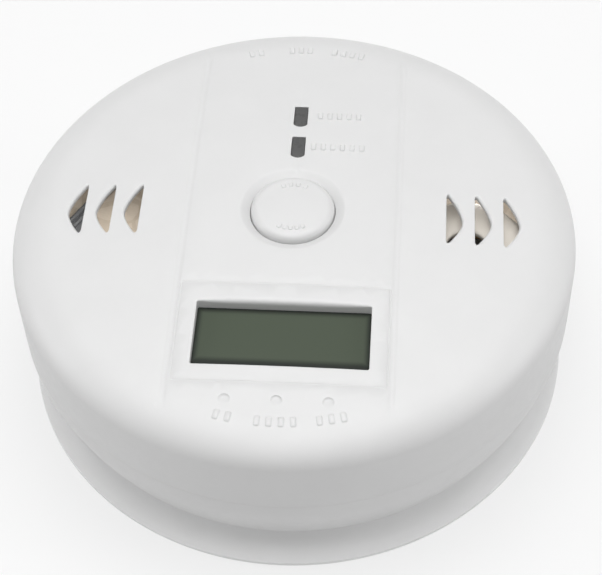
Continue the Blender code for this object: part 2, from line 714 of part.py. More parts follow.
def batteries(parent, mats):
    for index, (x, facing) in enumerate(cell_places(), 1):
        battery(index, x, facing, parent, mats["cell"])
        battery_spring(index, x, facing, parent, mats["spring"])
    half, low, high = 5.0, CELL_Z - 5.0, CELL_Z + 2.0

    def link(x0, x1):
        return [(x0 - half, low), (x1 + half, low), (x1 + half, high), (x0 - half, high)]

    contact_plate("battery_link_1", link(-CELL_PITCH, 0.0), 1, parent, mats["plate"])
    contact_plate("battery_link_2", link(0.0, CELL_PITCH), -1, parent, mats["plate"])

    def terminal(x):
        tab, tip = 1.5, BOARD_Z[1] + 0.1
        return [(x - half, low), (x + half, low), (x + half, high), (x + tab, high), (x + tab, tip),
                (x - tab, tip), (x - tab, high), (x - half, high)]

    contact_plate("battery_terminal_negative", terminal(-CELL_PITCH), -1, parent, mats["plate"])
    contact_plate("battery_terminal_positive", terminal(CELL_PITCH), 1, parent, mats["plate"])


# --------------------------------------------------------------------- screws

def screw(name, x, y, head_z, head_r, shank_r, length, parent, mat):
    """Self-tapping screw that points up, with a cross recess in its head."""
    head_h = 1.7
    low = head_z - head_h
    profile = [(0, low), (head_r - 0.5, low), (head_r, low + 0.5), (head_r, head_z), (shank_r, head_z),
               (shank_r, head_z + length - 1.5), (0.3, head_z + length), (0, head_z + length)]
    obj = add(name, moved(turned(profile, 16), x, y, 0), mat, parent)
    arm, half = head_r * 0.6, 0.35
    cross = [(half, half), (half, arm), (-half, arm), (-half, half), (-arm, half), (-arm, -half),
             (-half, -half), (-half, -arm), (half, -arm), (half, -half), (arm, -half), (arm, half)]
    cut(obj, moved(prism(cross, low - 1, low + 1.0), x, y, 0))


def screws(parent, mat):
    for i, (x, y) in enumerate(case_screw_places(), 1):
        screw(f"case_screw_{i}", x, y, CASE_SCREW_HEAD_Z - GAP, 2.4, 1.2, 16.0, parent, mat)
    for i, (x, y) in enumerate(BOARD_SCREWS, 1):
        screw(f"board_screw_{i}", x, y, BOARD_Z[0] - GAP, 2.1, 0.9, 8.0, parent, mat)


# ----------------------------------------------------------------------- build

def clear_scene():
    for obj in list(bpy.data.objects):
        bpy.data.objects.remove(obj, do_unlink=True)


def build():
    clear_scene()
    white = (0.80, 0.80, 0.78)
    case = material("case_plastic", white, 0.45)
    base_mat = material("base_plastic", white, 0.5)
    smoked = material("smoked_lens", (0.10, 0.10, 0.10), 0.25)
    steel = material("steel", (0.62, 0.62, 0.60), 0.35, 1.0)
    brass = material("brass", (0.75, 0.60, 0.30), 0.35, 1.0)
    black = material("black_plastic", (0.03, 0.03, 0.03), 0.5)

    mounting_base(base_mat)
    pivot = bpy.data.objects.new("detector_pivot", None)
    bpy.context.scene.collection.objects.link(pivot)

    front_cover(pivot, case)
    rear_housing(pivot, case)
    test_button(pivot, case)
    test_switch(pivot, black, material("switch_plunger", (0.55, 0.50, 0.42), 0.5))
    for name, y, tint in (("alarm", ALARM_LIGHT_Y, (0.6, 0.05, 0.04)),
                          ("operate", OPERATE_LIGHT_Y, (0.1, 0.5, 0.12))):
        light_window(f"{name}_light_window", y, pivot, smoked)
        led(f"{name}_led", y, pivot, material(f"{name}_led", tint, 0.2))
    display(pivot, {
        "window": material("display_window", (0.30, 0.34, 0.28), 0.1, alpha=0.5),
        "panel": material("display_panel", (0.09, 0.11, 0.08), 0.2),
        "diffuser": material("display_diffuser", (0.7, 0.75, 0.68), 0.5),
        "strip": material("zebra_strip", (0.12, 0.12, 0.13), 0.7),
        "frame": black,
    })
    circuit_board(pivot, material("circuit_board", (0.36, 0.28, 0.19), 0.5))
    co_sensor(pivot, material("sensor_can", (0.35, 0.36, 0.35), 0.4))
    sensor_leads(pivot, material("sensor_lead", (0.10, 0.10, 0.10), 0.5))
    buzzer(pivot, {
        "cup": material("buzzer_cup", (0.68, 0.66, 0.60), 0.5),
        "disc": brass,
        "red": material("red_wire", (0.55, 0.03, 0.02), 0.5),
        "black": black,
    })
    board_parts(pivot, {
        "chip": black,
        "resistor": material("resistor", (0.06, 0.06, 0.07), 0.4),
        "capacitor": material("capacitor_sleeve", (0.05, 0.07, 0.20), 0.4),
        "coil": material("coil", (0.30, 0.13, 0.06), 0.4),
        "crystal": steel,
    })
    batteries(pivot, {
        "cell": material("battery_jacket", (0.10, 0.11, 0.12), 0.35),
        "spring": steel,
        "plate": material("nickel_plate", (0.70, 0.68, 0.62), 0.3, 1.0),
    })
    screws(pivot, steel)


build()
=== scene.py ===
import math

import bmesh
import bpy
import numpy as np
from mathutils import Matrix, Vector
from mathutils.geometry import delaunay_2d_cdt


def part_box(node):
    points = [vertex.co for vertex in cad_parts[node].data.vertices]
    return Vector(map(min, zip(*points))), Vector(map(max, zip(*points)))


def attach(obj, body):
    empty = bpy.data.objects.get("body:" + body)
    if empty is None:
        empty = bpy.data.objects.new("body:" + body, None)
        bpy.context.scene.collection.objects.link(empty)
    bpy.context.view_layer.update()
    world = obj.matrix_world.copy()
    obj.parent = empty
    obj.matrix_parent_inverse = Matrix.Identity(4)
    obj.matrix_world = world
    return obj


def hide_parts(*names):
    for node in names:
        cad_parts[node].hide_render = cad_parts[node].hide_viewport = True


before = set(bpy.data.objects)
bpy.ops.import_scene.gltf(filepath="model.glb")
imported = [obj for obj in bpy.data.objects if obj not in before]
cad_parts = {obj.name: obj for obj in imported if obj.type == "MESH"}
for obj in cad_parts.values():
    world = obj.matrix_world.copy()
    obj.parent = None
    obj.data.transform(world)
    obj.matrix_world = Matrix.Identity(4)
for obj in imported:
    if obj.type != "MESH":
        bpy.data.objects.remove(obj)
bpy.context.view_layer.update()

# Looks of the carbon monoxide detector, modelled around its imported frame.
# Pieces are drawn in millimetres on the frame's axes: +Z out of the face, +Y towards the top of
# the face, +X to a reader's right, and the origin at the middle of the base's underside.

MM = 0.001


class Box:
    """A frame node's box at rest, in millimetres: its corners, its middle and its size."""

    def __init__(self, node):
        self.low, self.high = ([v / MM for v in corner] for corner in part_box(node))
        (self.x0, self.y0, self.z0), (self.x1, self.y1, self.z1) = self.low, self.high
        self.x, self.y = self.middle = (self.x0 + self.x1) / 2, (self.y0 + self.y1) / 2
        self.wide, self.tall = self.x1 - self.x0, self.y1 - self.y0
        self.r = self.wide / 2

    def outline(self, corner, steps, inset=0.0):
        return rectangle(self.wide - inset, self.tall - inset, corner, steps, self.middle)


# Main sizes, read from the frame
BUTTON = Box("test_button")
WINDOW = Box("display_window")
BOARD = Box("circuit_board")
BODY_R = Box("front_cover").x1
BASE_R = Box("mounting_base").x1

# Inside
POST_FOOT_Z = BOARD.z1 + 0.3
CASE_SCREWS = [Box(f"case_screw_{i}").middle for i in (1, 2, 3, 4)]
BOARD_SCREWS = [Box(f"board_screw_{i}").middle for i in (1, 2, 3)]
CELL_R = 7.1
CELL_LENGTH = 50.5
CELL_PITCH = 15.1
CELL_Z = 10.3
BAY_HALF = (22.85, 28.9)
BAY_WALL = 1.2
BAY_ROOF_Z = 19.3
CONTACT_Y = BAY_HALF[1] - 0.55

# Face
SIDES = 256
APEX_Z = 36.8
DOME_R = 41.5
DOME_DROP = 1.5
FILLET_DROP = 4.9
PLATE_R = 46.0
TOP_WALL = 1.7
SIDE_WALL = 1.8
SEAM_Z = 20.0
SEAM_GAP = 0.02

BUTTON_Y = BUTTON.y
BUTTON_R = 7.4
BUTTON_HOLE_R = 7.55
DISH_R = 9.5
DISH_DEPTH = 1.0
LIGHT_W = 2.4
LIGHT_LENGTH = 5.2
LIGHT_YS = {"alarm": 23.7, "operate": 15.75}
DISPLAY_W = 29.6
DISPLAY_H = 12.7
DISPLAY_Y = WINDOW.y
BAND_X = 18.6
VENT_X = (27.0, 32.0, 37.0)
VENT_BULGE = 2.8
VENT_Y = (-5.5, 6.0)
VENT_APEX_Y = -0.5
BAND_END_R = 45.5
# Blank blocks where the photo has raised words: (middle angle, count) on an arc about the middle,
# (Y, first X, count) in a row beside a light, (middle angle, count, turn, radius) on the button
UPPER_WORDS = ((103.2, 2), (91.6, 3), (79.3, 4))
LOWER_WORDS = ((258.6, 2), (270.1, 4), (282.2, 3))
LIGHT_WORDS = ((24.0, 3.6, 5), (15.9, 2.8, 6))
BUTTON_WORDS = ((90, 4, 15, 6.3), (270, 5, 12, 5.1))
BLOCK_SIZE = (1.05, 1.9)


# -------------------------------------------------------------------- outlines

def arc(cx, cy, radius, start, stop, steps):
    """Points on a circle between two angles in degrees."""
    span = [math.radians(start + (stop - start) * i / steps) for i in range(steps + 1)]
    return [(cx + radius * math.cos(a), cy + radius * math.sin(a)) for a in span]


def circle(cx, cy, radius, steps):
    return arc(cx, cy, radius, 0, 360 - 360 / steps, steps - 1)


def rectangle(width, height, corner=0.0, steps=5, at=(0, 0)):
    """A rectangle about a point, counter-clockwise, with rounded corners if asked."""
    x, y = width / 2 - corner, height / 2 - corner
    if corner == 0:
        points = [(-x, -y), (x, -y), (x, y), (-x, y)]
    else:
        points = []
        for cx, cy, start in ((x, -y, 270), (x, y, 0), (-x, y, 90), (-x, -y, 180)):
            points += arc(cx, cy, corner, start, start + 90, steps)
    return [(px + at[0], py + at[1]) for px, py in points]


def slot_outline(half_length, radius, steps=10):
    """A round-ended slot along Y."""
    return arc(0, half_length, radius, 0, 180, steps) + arc(0, -half_length, radius, 180, 360, steps)


def resampled(line, step, closed=True):
    """The same line with a point at least every step."""
    ends = line[1:] + line[:1] if closed else line[1:]
    points = []
    for (x0, y0), (x1, y1) in zip(line, ends):
        count = max(1, math.ceil(math.hypot(x1 - x0, y1 - y0) / step))
        points += [(x0 + (x1 - x0) * i / count, y0 + (y1 - y0) * i / count) for i in range(count)]
    return points if closed else points + [line[-1]]


def offset(outline, distance):
    """A counter-clockwise outline moved outward; distance is a number, or one for each point."""
    p = np.array(outline)
    ahead, behind = np.roll(p, -1, 0) - p, p - np.roll(p, 1, 0)

    def outward(v):
        return np.stack([v[:, 1], -v[:, 0]], 1) / np.maximum(np.hypot(v[:, 0], v[:, 1]), 1e-9)[:, None]

    first, second = outward(behind), outward(ahead)
    both = first + second
    miter = 2 * both / np.maximum((both * both).sum(1), 0.5)[:, None]
    moved_points = p + miter * np.reshape(distance, (-1, 1))
    return [tuple(q) for q in moved_points]


def curved(start, bend, end, steps):
    """Points of a curve that leaves start towards bend, and reaches end from it."""
    return [tuple(a * (1 - t) ** 2 + b * 2 * t * (1 - t) + c * t ** 2 for a, b, c in zip(start, bend, end))
            for t in (i / steps for i in range(steps + 1))]


def vent_outline(x, side):
    """Vent with a flat inner edge and an outward bulge that meet in rounded tips."""
    tip = 0.85
    halves = []
    for end in VENT_Y:
        reach = abs(end - VENT_APEX_Y)
        half = []
        for share in np.linspace(0, 1, 10):
            y = VENT_APEX_Y + (end - VENT_APEX_Y) * share * (1 - tip / reach)
            half.append((VENT_BULGE * (1 - (abs(y - VENT_APEX_Y) / (reach + 0.2)) ** 1.6), y))
        flat = (0.0, end - math.copysign(tip, end))
        half += curved(half[-1], (0.12, end + math.copysign(0.35, end)), flat, 6)[1:]
        halves.append(half)
    points = [(x + px, py) for px, py in halves[0][::-1] + halves[1][1:]]
    if side < 0:
        points = [(-px, py) for px, py in reversed(points)]
    return resampled(points, 0.5)


def light_outline(y, extra=0.0):
    """Indicator window: square at the far end, and bowed at the near end."""
    half = LIGHT_W / 2 + extra
    far = LIGHT_LENGTH / 2 + extra
    bow = 0.62
    radius = (half ** 2 + bow ** 2) / (2 * bow)
    sweep = math.degrees(math.asin((half - 0.12) / radius))
    r = 0.15
    points = arc(half - r, far - r, r, 0, 90, 3) + arc(r - half, far - r, r, 90, 180, 3)
    points += arc(r - half, bow - far + 0.1, r, 180, 250, 3)
    points += arc(0, radius - far, radius, 270 - sweep, 270 + sweep, 12)
    points += arc(half - r, bow - far + 0.1, r, 290, 360, 3)
    return [(px, py + y) for px, py in points]


# --------------------------------------------------------------- face as a field

def smooth(t):
    t = np.clip(t, 0.0, 1.0)
    return t * t * (3 - 2 * t)


def distance_to(points, line, closed=True):
    """Distance from each point to a line."""
    a = np.array(line)
    b = np.roll(a, -1, 0) if closed else a[1:]
    a = a if closed else a[:-1]
    best = np.full(len(points), np.inf)
    for start, along in zip(a, b - a):
        t = np.clip((points - start) @ along / max(along @ along, 1e-12), 0, 1)
        best = np.minimum(best, np.hypot(*(points - start - t[:, None] * along).T))
    return best


def inside(points, polygon):
    """Which points are inside a polygon."""
    result = np.zeros(len(points), bool)
    x, y = points[:, 0], points[:, 1]
    for (x0, y0), (x1, y1) in zip(polygon, polygon[1:] + polygon[:1]):
        if y0 == y1:
            continue
        crosses = (y0 > y) != (y1 > y)
        result ^= crosses & (x < (x1 - x0) * (y - y0) / (y1 - y0) + x0)
    return result


def near(points, line, margin):
    """Which points are in a line's box, widened by a margin."""
    low, high = np.min(line, 0) - margin, np.max(line, 0) + margin
    return np.all((points > low) & (points < high), 1)


class Plate:
    """A round plate: a height field with fine relief, and openings cut right through it."""

    def __init__(self, radius, height, sides=SIDES, spacing=2.1):
        self.radius = radius
        self.height = height
        self.sides = sides
        self.spacing = spacing
        self.chains = [(circle(0, 0, radius, sides), True)]
        self.openings = []
        self.changes = []
        self.rings = []

    def chain(self, line, closed=True):
        self.chains.append((line, closed))

    def opening(self, outline, rounding=0.2):
        """rounding is the radius of the upper edge: a number, or one for each point."""
        radii = np.broadcast_to(np.asarray(rounding, float), (len(outline),))
        for turn in (0, 25, 50, 72, 90):
            self.chain(offset(outline, radii * (1 - math.cos(math.radians(turn)))))
        self.chain(offset(outline, radii + 0.25))
        self.openings.append((outline, radii))

    def groove(self, line, width, depth, closed=False, fade=None):
        half = width / 2
        line = resampled(line, 1.4, closed)
        for share in (-1.0, -0.75, -0.5, -0.2, 0.2, 0.5, 0.75, 1.0):
            if closed:
                self.chain(offset(line, share * half))
            else:
                (x0, y0), (x1, y1) = line[0], line[-1]
                length = math.hypot(x1 - x0, y1 - y0)
                nx, ny = (y1 - y0) / length * share * half, -(x1 - x0) / length * share * half
                self.chain([(x + nx, y + ny) for x, y in line], False)

        def change(points):
            amount = -depth * smooth(1.15 - distance_to(points, line, closed) / half)
            return amount if fade is None else amount * fade(points)

        self.changes.append((line, half + 0.1, change))

    def mark(self, outline, height, edge=0.2):
        """A low raised shape with soft sides."""
        for share in (-0.5, 0.0, 0.33, 0.67, 1.0):
            self.chain(offset(outline, -edge * share))
        self.changes.append((outline, 0.1, lambda points: height * smooth(
            np.where(inside(points, outline), distance_to(points, outline), 0) / edge)))

    def field(self, points):
        """Height of the upper surface at each point."""
        z = self.height(points)
        for line, margin, change in self.changes:
            pick = near(points, line, margin)
            z[pick] += change(points[pick])
        for outline, radii in self.openings:
            pick = near(points, outline, radii.max() + 0.1)
            away = distance_to(points[pick], outline)
            closest = np.argmin(np.hypot(points[pick][:, None, 0] - np.array(outline)[None, :, 0],
                                         points[pick][:, None, 1] - np.array(outline)[None, :, 1]), 1)
            r = radii[closest]
            z[pick] -= r - np.sqrt(np.maximum(r * r - np.clip(r - away, 0, r) ** 2, 0))
        return z

    def background(self, taken):
        """Evenly spread points, clear of the lines that are already there."""
        spread = [(0.0, 0.0)]
        for r in np.arange(self.spacing, self.radius - 0.4 * self.spacing, self.spacing):
            if all(abs(r - ring) > 0.6 * self.spacing for ring in self.rings):
                spread += circle(0, 0, r, int(2 * math.pi * r / self.spacing))
        for r in self.rings:
            spread += circle(0, 0, r, self.sides)
        spread = np.array(spread)
        keep = np.ones(len(spread), bool)
        for i in range(0, len(spread), 200):
            part = spread[i:i + 200]
            apart = np.hypot(part[:, None, 0] - taken[None, :, 0], part[:, None, 1] - taken[None, :, 1])
            keep[i:i + 200] = apart.min(1) > 0.5
        for outline, _ in self.openings:
            keep &= ~inside(spread, outline)
        return spread[keep]

    def triangulate(self):
        points, edges = [], []
        for line, closed in self.chains:
            first = len(points)
            points += line
            edges += [(first + i, first + i + 1) for i in range(len(line) - 1)]
            if closed:
                edges.append((first + len(line) - 1, first))
        points += [tuple(p) for p in self.background(np.array(points))]
        verts, _, faces, *_ = delaunay_2d_cdt([Vector(p) for p in points], edges, [], 0, 1e-4)
        verts = np.array([tuple(v) for v in verts])
        faces = np.array([tuple(f) for f in faces])
        middle = verts[faces].mean(1)
        for outline, _ in self.openings:
            pick = near(middle, outline, 0)
            gone = np.zeros(len(faces), bool)
            gone[pick] = inside(middle[pick], outline)
            faces, middle = faces[~gone], middle[~gone]
        a, b, c = (verts[faces[:, i]] for i in range(3))
        turned_over = (b[:, 0] - a[:, 0]) * (c[:, 1] - a[:, 1]) < (b[:, 1] - a[:, 1]) * (c[:, 0] - a[:, 0])
        faces[turned_over] = faces[turned_over][:, ::-1]
        used = np.unique(faces)
        renumber = np.zeros(len(verts), int)
        renumber[used] = np.arange(len(used))
        return verts[used], renumber[faces]

    def shell(self, lower):
        """Vertices and faces of the plate, with its underside, and its two rim rings.

        lower gives the place under each point of the upper surface."""
        flat, faces = self.triangulate()
        top = np.column_stack([flat, self.field(flat)])
        count = len(top)
        verts = [tuple(v) for v in top] + [tuple(v) for v in lower(flat)]
        quads = [tuple(f) for f in faces] + [tuple(int(i) + count for i in reversed(f)) for f in faces]
        pairs = {(int(f[i]), int(f[(i + 1) % 3])) for f in faces for i in range(3)}
        rim = np.hypot(flat[:, 0], flat[:, 1]) > self.radius - 1e-3
        for i, j in sorted(pairs):
            if (j, i) not in pairs and not (rim[i] and rim[j]):
                quads.append((j, i, i + count, j + count))
        order = sorted(np.flatnonzero(rim), key=lambda i: math.atan2(flat[i, 1], flat[i, 0]))
        ring = [int(i) for i in order]
        return verts, quads, ring, [i + count for i in ring]


# ---------------------------------------------------------------- mesh helpers

def skin(verts, faces, ring, profile):
    """Continues a rim ring of vertices along (r, z) places. Returns the last ring."""
    angles = [math.atan2(verts[i][1], verts[i][0]) for i in ring]
    for r, z in profile:
        first = len(verts)
        verts += [(r * math.cos(a), r * math.sin(a), z) for a in angles]
        following = list(range(first, first + len(ring)))
        bridge(faces, ring, following)
        ring = following
    return ring


def bridge(faces, upper, lower):
    for i in range(len(upper)):
        j = (i + 1) % len(upper)
        faces.append((upper[j], upper[i], lower[i], lower[j]))


def piece(name, verts, faces, mat, sharp=38):
    """A mesh object from millimetre places, shaded smooth except at its sharp edges."""
    mesh = bpy.data.meshes.new(name)
    mesh.from_pydata([(x * MM, y * MM, z * MM) for x, y, z in verts], [], faces)
    mesh.validate()
    return as_piece(name, mesh, mat, sharp)


def as_piece(name, mesh, mat, sharp=38):
    mesh.shade_smooth()
    mesh.set_sharp_from_angle(angle=math.radians(sharp))
    mesh.materials.clear()
    mesh.materials.append(mat)
    obj = bpy.data.objects.new(name, mesh)
    bpy.context.scene.collection.objects.link(obj)
    return obj


def seat(obj, body, slot, *nodes):
    """Ties a piece to its body and hides the frame nodes that it stands for; slot is not used."""
    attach(obj, body)
    if nodes:
        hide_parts(*nodes)


def fitted(name, mesh, mat, slot, *nodes, sharp=38, body="detector"):
    """Makes a mesh a piece and seats it."""
    seat(as_piece(name, mesh, mat, sharp), body, slot, *nodes)


def loft(bm, loops):
    """Skins a list of equally long loops, and closes both ends."""
    rows = [[bm.verts.new(Vector(p) * MM) for p in loop] for loop in loops]
    for low, high in zip(rows, rows[1:]):
        for i in range(len(low)):
            j = (i + 1) % len(low)
            bm.faces.new((low[i], low[j], high[j], high[i]))
    bm.faces.new(list(reversed(rows[0])))
    bm.faces.new(rows[-1])


def prism(outline, z0, z1):
    bm = bmesh.new()
    loft(bm, [[(x, y, z) for x, y in outline] for z in (z0, z1)])
    return bm


def slab(outline, z0, z1, edge, steps=3):
    """An upright extrusion whose edges are rounded."""
    turns = [math.pi / 2 * i / steps for i in range(steps + 1)]
    places = [(edge * (1 - math.sin(t)), z0 + edge * (1 - math.cos(t))) for t in turns]
    places += [(edge * (1 - math.cos(t)), z1 - edge * (1 - math.sin(t))) for t in turns]
    loops = [[(x, y, z) for x, y in offset(outline, -inset)] for inset, z in places]
    bm = bmesh.new()
    loft(bm, loops)
    return bm


def block(x, y, z):
    return prism([(x[0], y[0]), (x[1], y[0]), (x[1], y[1]), (x[0], y[1])], z[0], z[1])


def turned(profile, sides=96):
    """Turns a closed (r, z) profile about Z. It runs up the outside and back down the inside."""
    bm = bmesh.new()
    turn = 2 * math.pi / sides
    rows = []
    for r, z in profile:
        if r == 0:
            rows.append([bm.verts.new((0, 0, z * MM))] * sides)
        else:
            rows.append([bm.verts.new((r * MM * math.cos(i * turn), r * MM * math.sin(i * turn), z * MM))
                         for i in range(sides)])
    for low, high in zip(rows, rows[1:] + rows[:1]):
        for i in range(sides):
            j = (i + 1) % sides
            corners = list(dict.fromkeys((low[i], low[j], high[j], high[i])))
            if len(corners) > 2:
                bm.faces.new(corners)
    return bm


def turned_at(profile, sides, x, y):
    return moved(turned(profile, sides), x, y, 0)


def rounded(profile, radius, steps=3):
    """A closed (r, z) profile with its corners rounded, except on the axis."""
    points = []
    count = len(profile)
    for i, corner in enumerate(profile):
        before, after = profile[i - 1], profile[(i + 1) % count]
        if corner[0] == 0:
            points.append(corner)
            continue
        a, b, c = Vector(before), Vector(corner), Vector(after)
        reach = min(radius, 0.45 * (a - b).length, 0.45 * (c - b).length)
        start, end = b + (a - b).normalized() * reach, b + (c - b).normalized() * reach
        points += curved(start, b, end, steps)
    return points


def rod(x, y, radius, z0, z1, sides=32):
    return moved(prism(circle(0, 0, radius, sides), z0, z1), x, y, 0)


def sector(r0, r1, start, stop, z0, z1, steps=9):
    """A block bent around Z between two angles in degrees."""
    return prism(arc(0, 0, r1, start, stop, steps) + arc(0, 0, r0, stop, start, steps), z0, z1)


def wedge(profile, start, stop, steps):
    """Turns a closed (r, z) profile through part of a circle."""
    loops = []
    for i in range(steps + 1):
        a = math.radians(start + (stop - start) * i / steps)
        loops.append([(r * math.cos(a), r * math.sin(a), z) for r, z in profile])
    bm = bmesh.new()
    loft(bm, loops)
    return bm


def moved(bm, x, y, z):
    bmesh.ops.translate(bm, verts=bm.verts, vec=Vector((x, y, z)) * MM)
    return bm


def rotated(bm, degrees, axis):
    bmesh.ops.rotate(bm, verts=bm.verts, matrix=Matrix.Rotation(math.radians(degrees), 3, axis))
    return bm


def mesh_of(*shapes):
    """One mesh from one or several closed shapes."""
    whole = bmesh.new()
    for bm in shapes:
        part = bpy.data.meshes.new("scrap")
        bmesh.ops.recalc_face_normals(bm, faces=bm.faces)
        bm.to_mesh(part)
        bm.free()
        whole.from_mesh(part)
        bpy.data.meshes.remove(part)
    mesh = bpy.data.meshes.new("shape")
    whole.to_mesh(mesh)
    whole.free()
    return mesh


def carved(mesh, *cuts, added=()):
    """The mesh with groups of shapes added to it, and other groups then cut out of it, in order."""
    collection = bpy.context.scene.collection
    body = bpy.data.objects.new("work", mesh)
    collection.objects.link(body)
    tools = []
    steps = [("UNION", shapes) for shapes in added] + [("DIFFERENCE", shapes) for shapes in cuts]
    for kind, shapes in steps:
        tool = bpy.data.objects.new("tool", mesh_of(*shapes))
        collection.objects.link(tool)
        tools.append(tool)
        step = body.modifiers.new(kind, "BOOLEAN")
        step.operation = kind
        step.object = tool
    depsgraph = bpy.context.evaluated_depsgraph_get()
    result = bpy.data.meshes.new_from_object(body.evaluated_get(depsgraph))
    for obj in [body] + tools:
        bpy.data.objects.remove(obj, do_unlink=True)
    return result


# ------------------------------------------------------------------- materials

class Look:
    """A node material in the making. Texture sizes are in millimetres."""

    def __init__(self, name, color, roughness, metallic=0.0):
        self.mat = bpy.data.materials.new(name)
        self.mat.use_nodes = True
        self.nodes = self.mat.node_tree.nodes
        self.links = self.mat.node_tree.links
        self.shader = self.nodes["Principled BSDF"]
        self.color, self.roughness = color, roughness
        self.shader.inputs["Base Color"].default_value = (*color, 1)
        self.shader.inputs["Roughness"].default_value = roughness
        self.shader.inputs["Metallic"].default_value = metallic
        self.place = self.nodes.new("ShaderNodeTexCoord").outputs["Object"]
        self.normal = None

    def link(self, a, b):
        self.links.new(a, b)

    def noise(self, size, detail=3.0, stretch=(1, 1, 1)):
        """Noise with features of about the given size; returns its 0 to 1 output."""
        mapping = self.nodes.new("ShaderNodeMapping")
        mapping.inputs["Scale"].default_value = stretch
        self.link(self.place, mapping.inputs["Vector"])
        node = self.nodes.new("ShaderNodeTexNoise")
        node.inputs["Scale"].default_value = 1 / (size * MM)
        node.inputs["Detail"].default_value = detail
        self.link(mapping.outputs["Vector"], node.inputs["Vector"])
        return node.outputs["Fac"]

    def axis(self, name):
        """The place along one axis."""
        split = self.nodes.new("ShaderNodeSeparateXYZ")
        self.link(self.place, split.inputs["Vector"])
        return split.outputs[name]

    def span(self, value, low, high):
        """Maps low to high, in millimetres, to 0 to 1."""
        node = self.nodes.new("ShaderNodeMapRange")
        node.inputs["From Min"].default_value = low * MM
        node.inputs["From Max"].default_value = high * MM
        self.link(value, node.inputs["Value"])
        return node.outputs[0]

    def calculate(self, operation, *values):
        """A Math node on numbers and other nodes' outputs."""
        node = self.nodes.new("ShaderNodeMath")
        node.operation = operation
        for socket, value in zip(node.inputs, values):
            if isinstance(value, float):
                socket.default_value = value
            else:
                self.link(value, socket)
        return node.outputs[0]

    def ramp(self, value, low, high, stops=(0.35, 0.65), interpolation="LINEAR"):
        """Maps a 0 to 1 value to a colour or a number between low and high."""
        node = self.nodes.new("ShaderNodeValToRGB")
        node.color_ramp.interpolation = interpolation
        for element, place, shade in zip(node.color_ramp.elements, stops, (low, high)):
            element.position = place
            element.color = (*shade, 1) if isinstance(shade, tuple) else (shade, shade, shade, 1)
        self.link(value, node.inputs["Fac"])
        return node.outputs["Color"]

    def mottle(self, size, amount):
        """Colour that wanders a little about the base colour."""
        low = tuple(c * (1 - amount) for c in self.color)
        high = tuple(min(1.0, c * (1 + amount)) for c in self.color)
        self.link(self.ramp(self.noise(size), low, high), self.shader.inputs["Base Color"])
        return self

    def gloss(self, size, spread):
        """Roughness that wanders about its base value."""
        value = self.ramp(self.noise(size, 4), self.roughness - spread, self.roughness + spread)
        self.link(value, self.shader.inputs["Roughness"])
        return self

    def bump(self, height, depth, strength=1.0):
        """Adds relief; depth is in millimetres."""
        node = self.nodes.new("ShaderNodeBump")
        node.inputs["Strength"].default_value = strength
        node.inputs["Distance"].default_value = depth * MM
        self.link(height, node.inputs["Height"])
        if self.normal:
            self.link(self.normal, node.inputs["Normal"])
        self.normal = node.outputs["Normal"]
        self.link(self.normal, self.shader.inputs["Normal"])
        return self

    def set(self, name, value):
        self.shader.inputs[name].default_value = value
        return self


def moulded(name, color, roughness, grain=0.22, depth=0.004):
    """Injection-moulded plastic: a fine spark-eroded grain, faint clouding and uneven gloss."""
    look = Look(name, color, roughness).mottle(9.0, 0.008).gloss(1.6, 0.05)
    look.bump(look.noise(grain, 2.0), depth)
    return look.bump(look.noise(3.0, 2.0), depth * 1.5, 0.5)


CASE = moulded("case_plastic", (0.645, 0.645, 0.645), 0.42).mat
BASE_PLASTIC = moulded("base_plastic", (0.76, 0.76, 0.76), 0.46).mat
BUTTON_PLASTIC = moulded("button_plastic", (0.645, 0.645, 0.645), 0.38, 0.18, 0.003).mat
SMOKED = moulded("smoked_lens", (0.095, 0.095, 0.095), 0.3, 0.5, 0.001).set("Specular IOR Level", 0.15).mat
BLACK = moulded("black_plastic", (0.03, 0.03, 0.03), 0.45).mat
CREAM = moulded("buzzer_cup", (0.64, 0.60, 0.54), 0.5).mat
CHIP = moulded("chip_epoxy", (0.022, 0.022, 0.024), 0.5, 0.12, 0.003).mat
SLEEVE = moulded("capacitor_sleeve", (0.03, 0.05, 0.12), 0.3, 0.6, 0.002).mat
SHEATH = moulded("lead_sheath", (0.078, 0.08, 0.082), 0.5, 0.3, 0.006).mat
FERRITE = moulded("ferrite", (0.055, 0.053, 0.05), 0.6, 0.3, 0.01).mat


def metal(name, color, roughness, brushed=(1, 1, 1)):
    """Bare metal with uneven gloss, faint drawing lines and small dents."""
    look = Look(name, color, roughness, 1.0).mottle(1.5, 0.05).gloss(0.6, 0.08)
    look.bump(look.noise(0.25, 3.0, brushed), 0.003)
    return look.bump(look.noise(2.0), 0.01, 0.4).mat


STEEL = metal("steel", (0.60, 0.60, 0.58), 0.34)
NICKEL = metal("nickel_plate", (0.66, 0.64, 0.60), 0.26, (1, 6, 1))
BRASS = metal("brass", (0.72, 0.53, 0.27), 0.3)
COPPER = metal("copper_wire", (0.66, 0.29, 0.14), 0.32)
SOLDER = metal("solder", (0.64, 0.64, 0.63), 0.3)
CAN = metal("sensor_can", (0.63, 0.63, 0.62), 0.3, (1, 1, 8))


# ---------------------------------------------------------------- front cover

def dome(points):
    """Height of the plain face, with the start of its rounded edge."""
    r = np.hypot(points[:, 0], points[:, 1])
    across = BODY_R - DOME_R
    flat = APEX_Z - DOME_DROP * (r / DOME_R) ** 2
    turn = np.sqrt(np.maximum(0.0, 1 - (np.maximum(r - DOME_R, 0) / across) ** 2))
    edge = APEX_Z - DOME_DROP - FILLET_DROP * (1 - turn)
    return np.where(r < DOME_R, flat, edge)


def edge_profile(start_r, steps=18):
    """The rounded edge from a radius on the face to the side wall."""
    across = BODY_R - DOME_R
    first = math.asin((start_r - DOME_R) / across)
    turns = [first + (math.pi / 2 - first) * i / steps for i in range(1, steps + 1)]
    low = APEX_Z - DOME_DROP - FILLET_DROP
    return [(DOME_R + across * math.sin(t), low + FILLET_DROP * math.cos(t)) for t in turns]


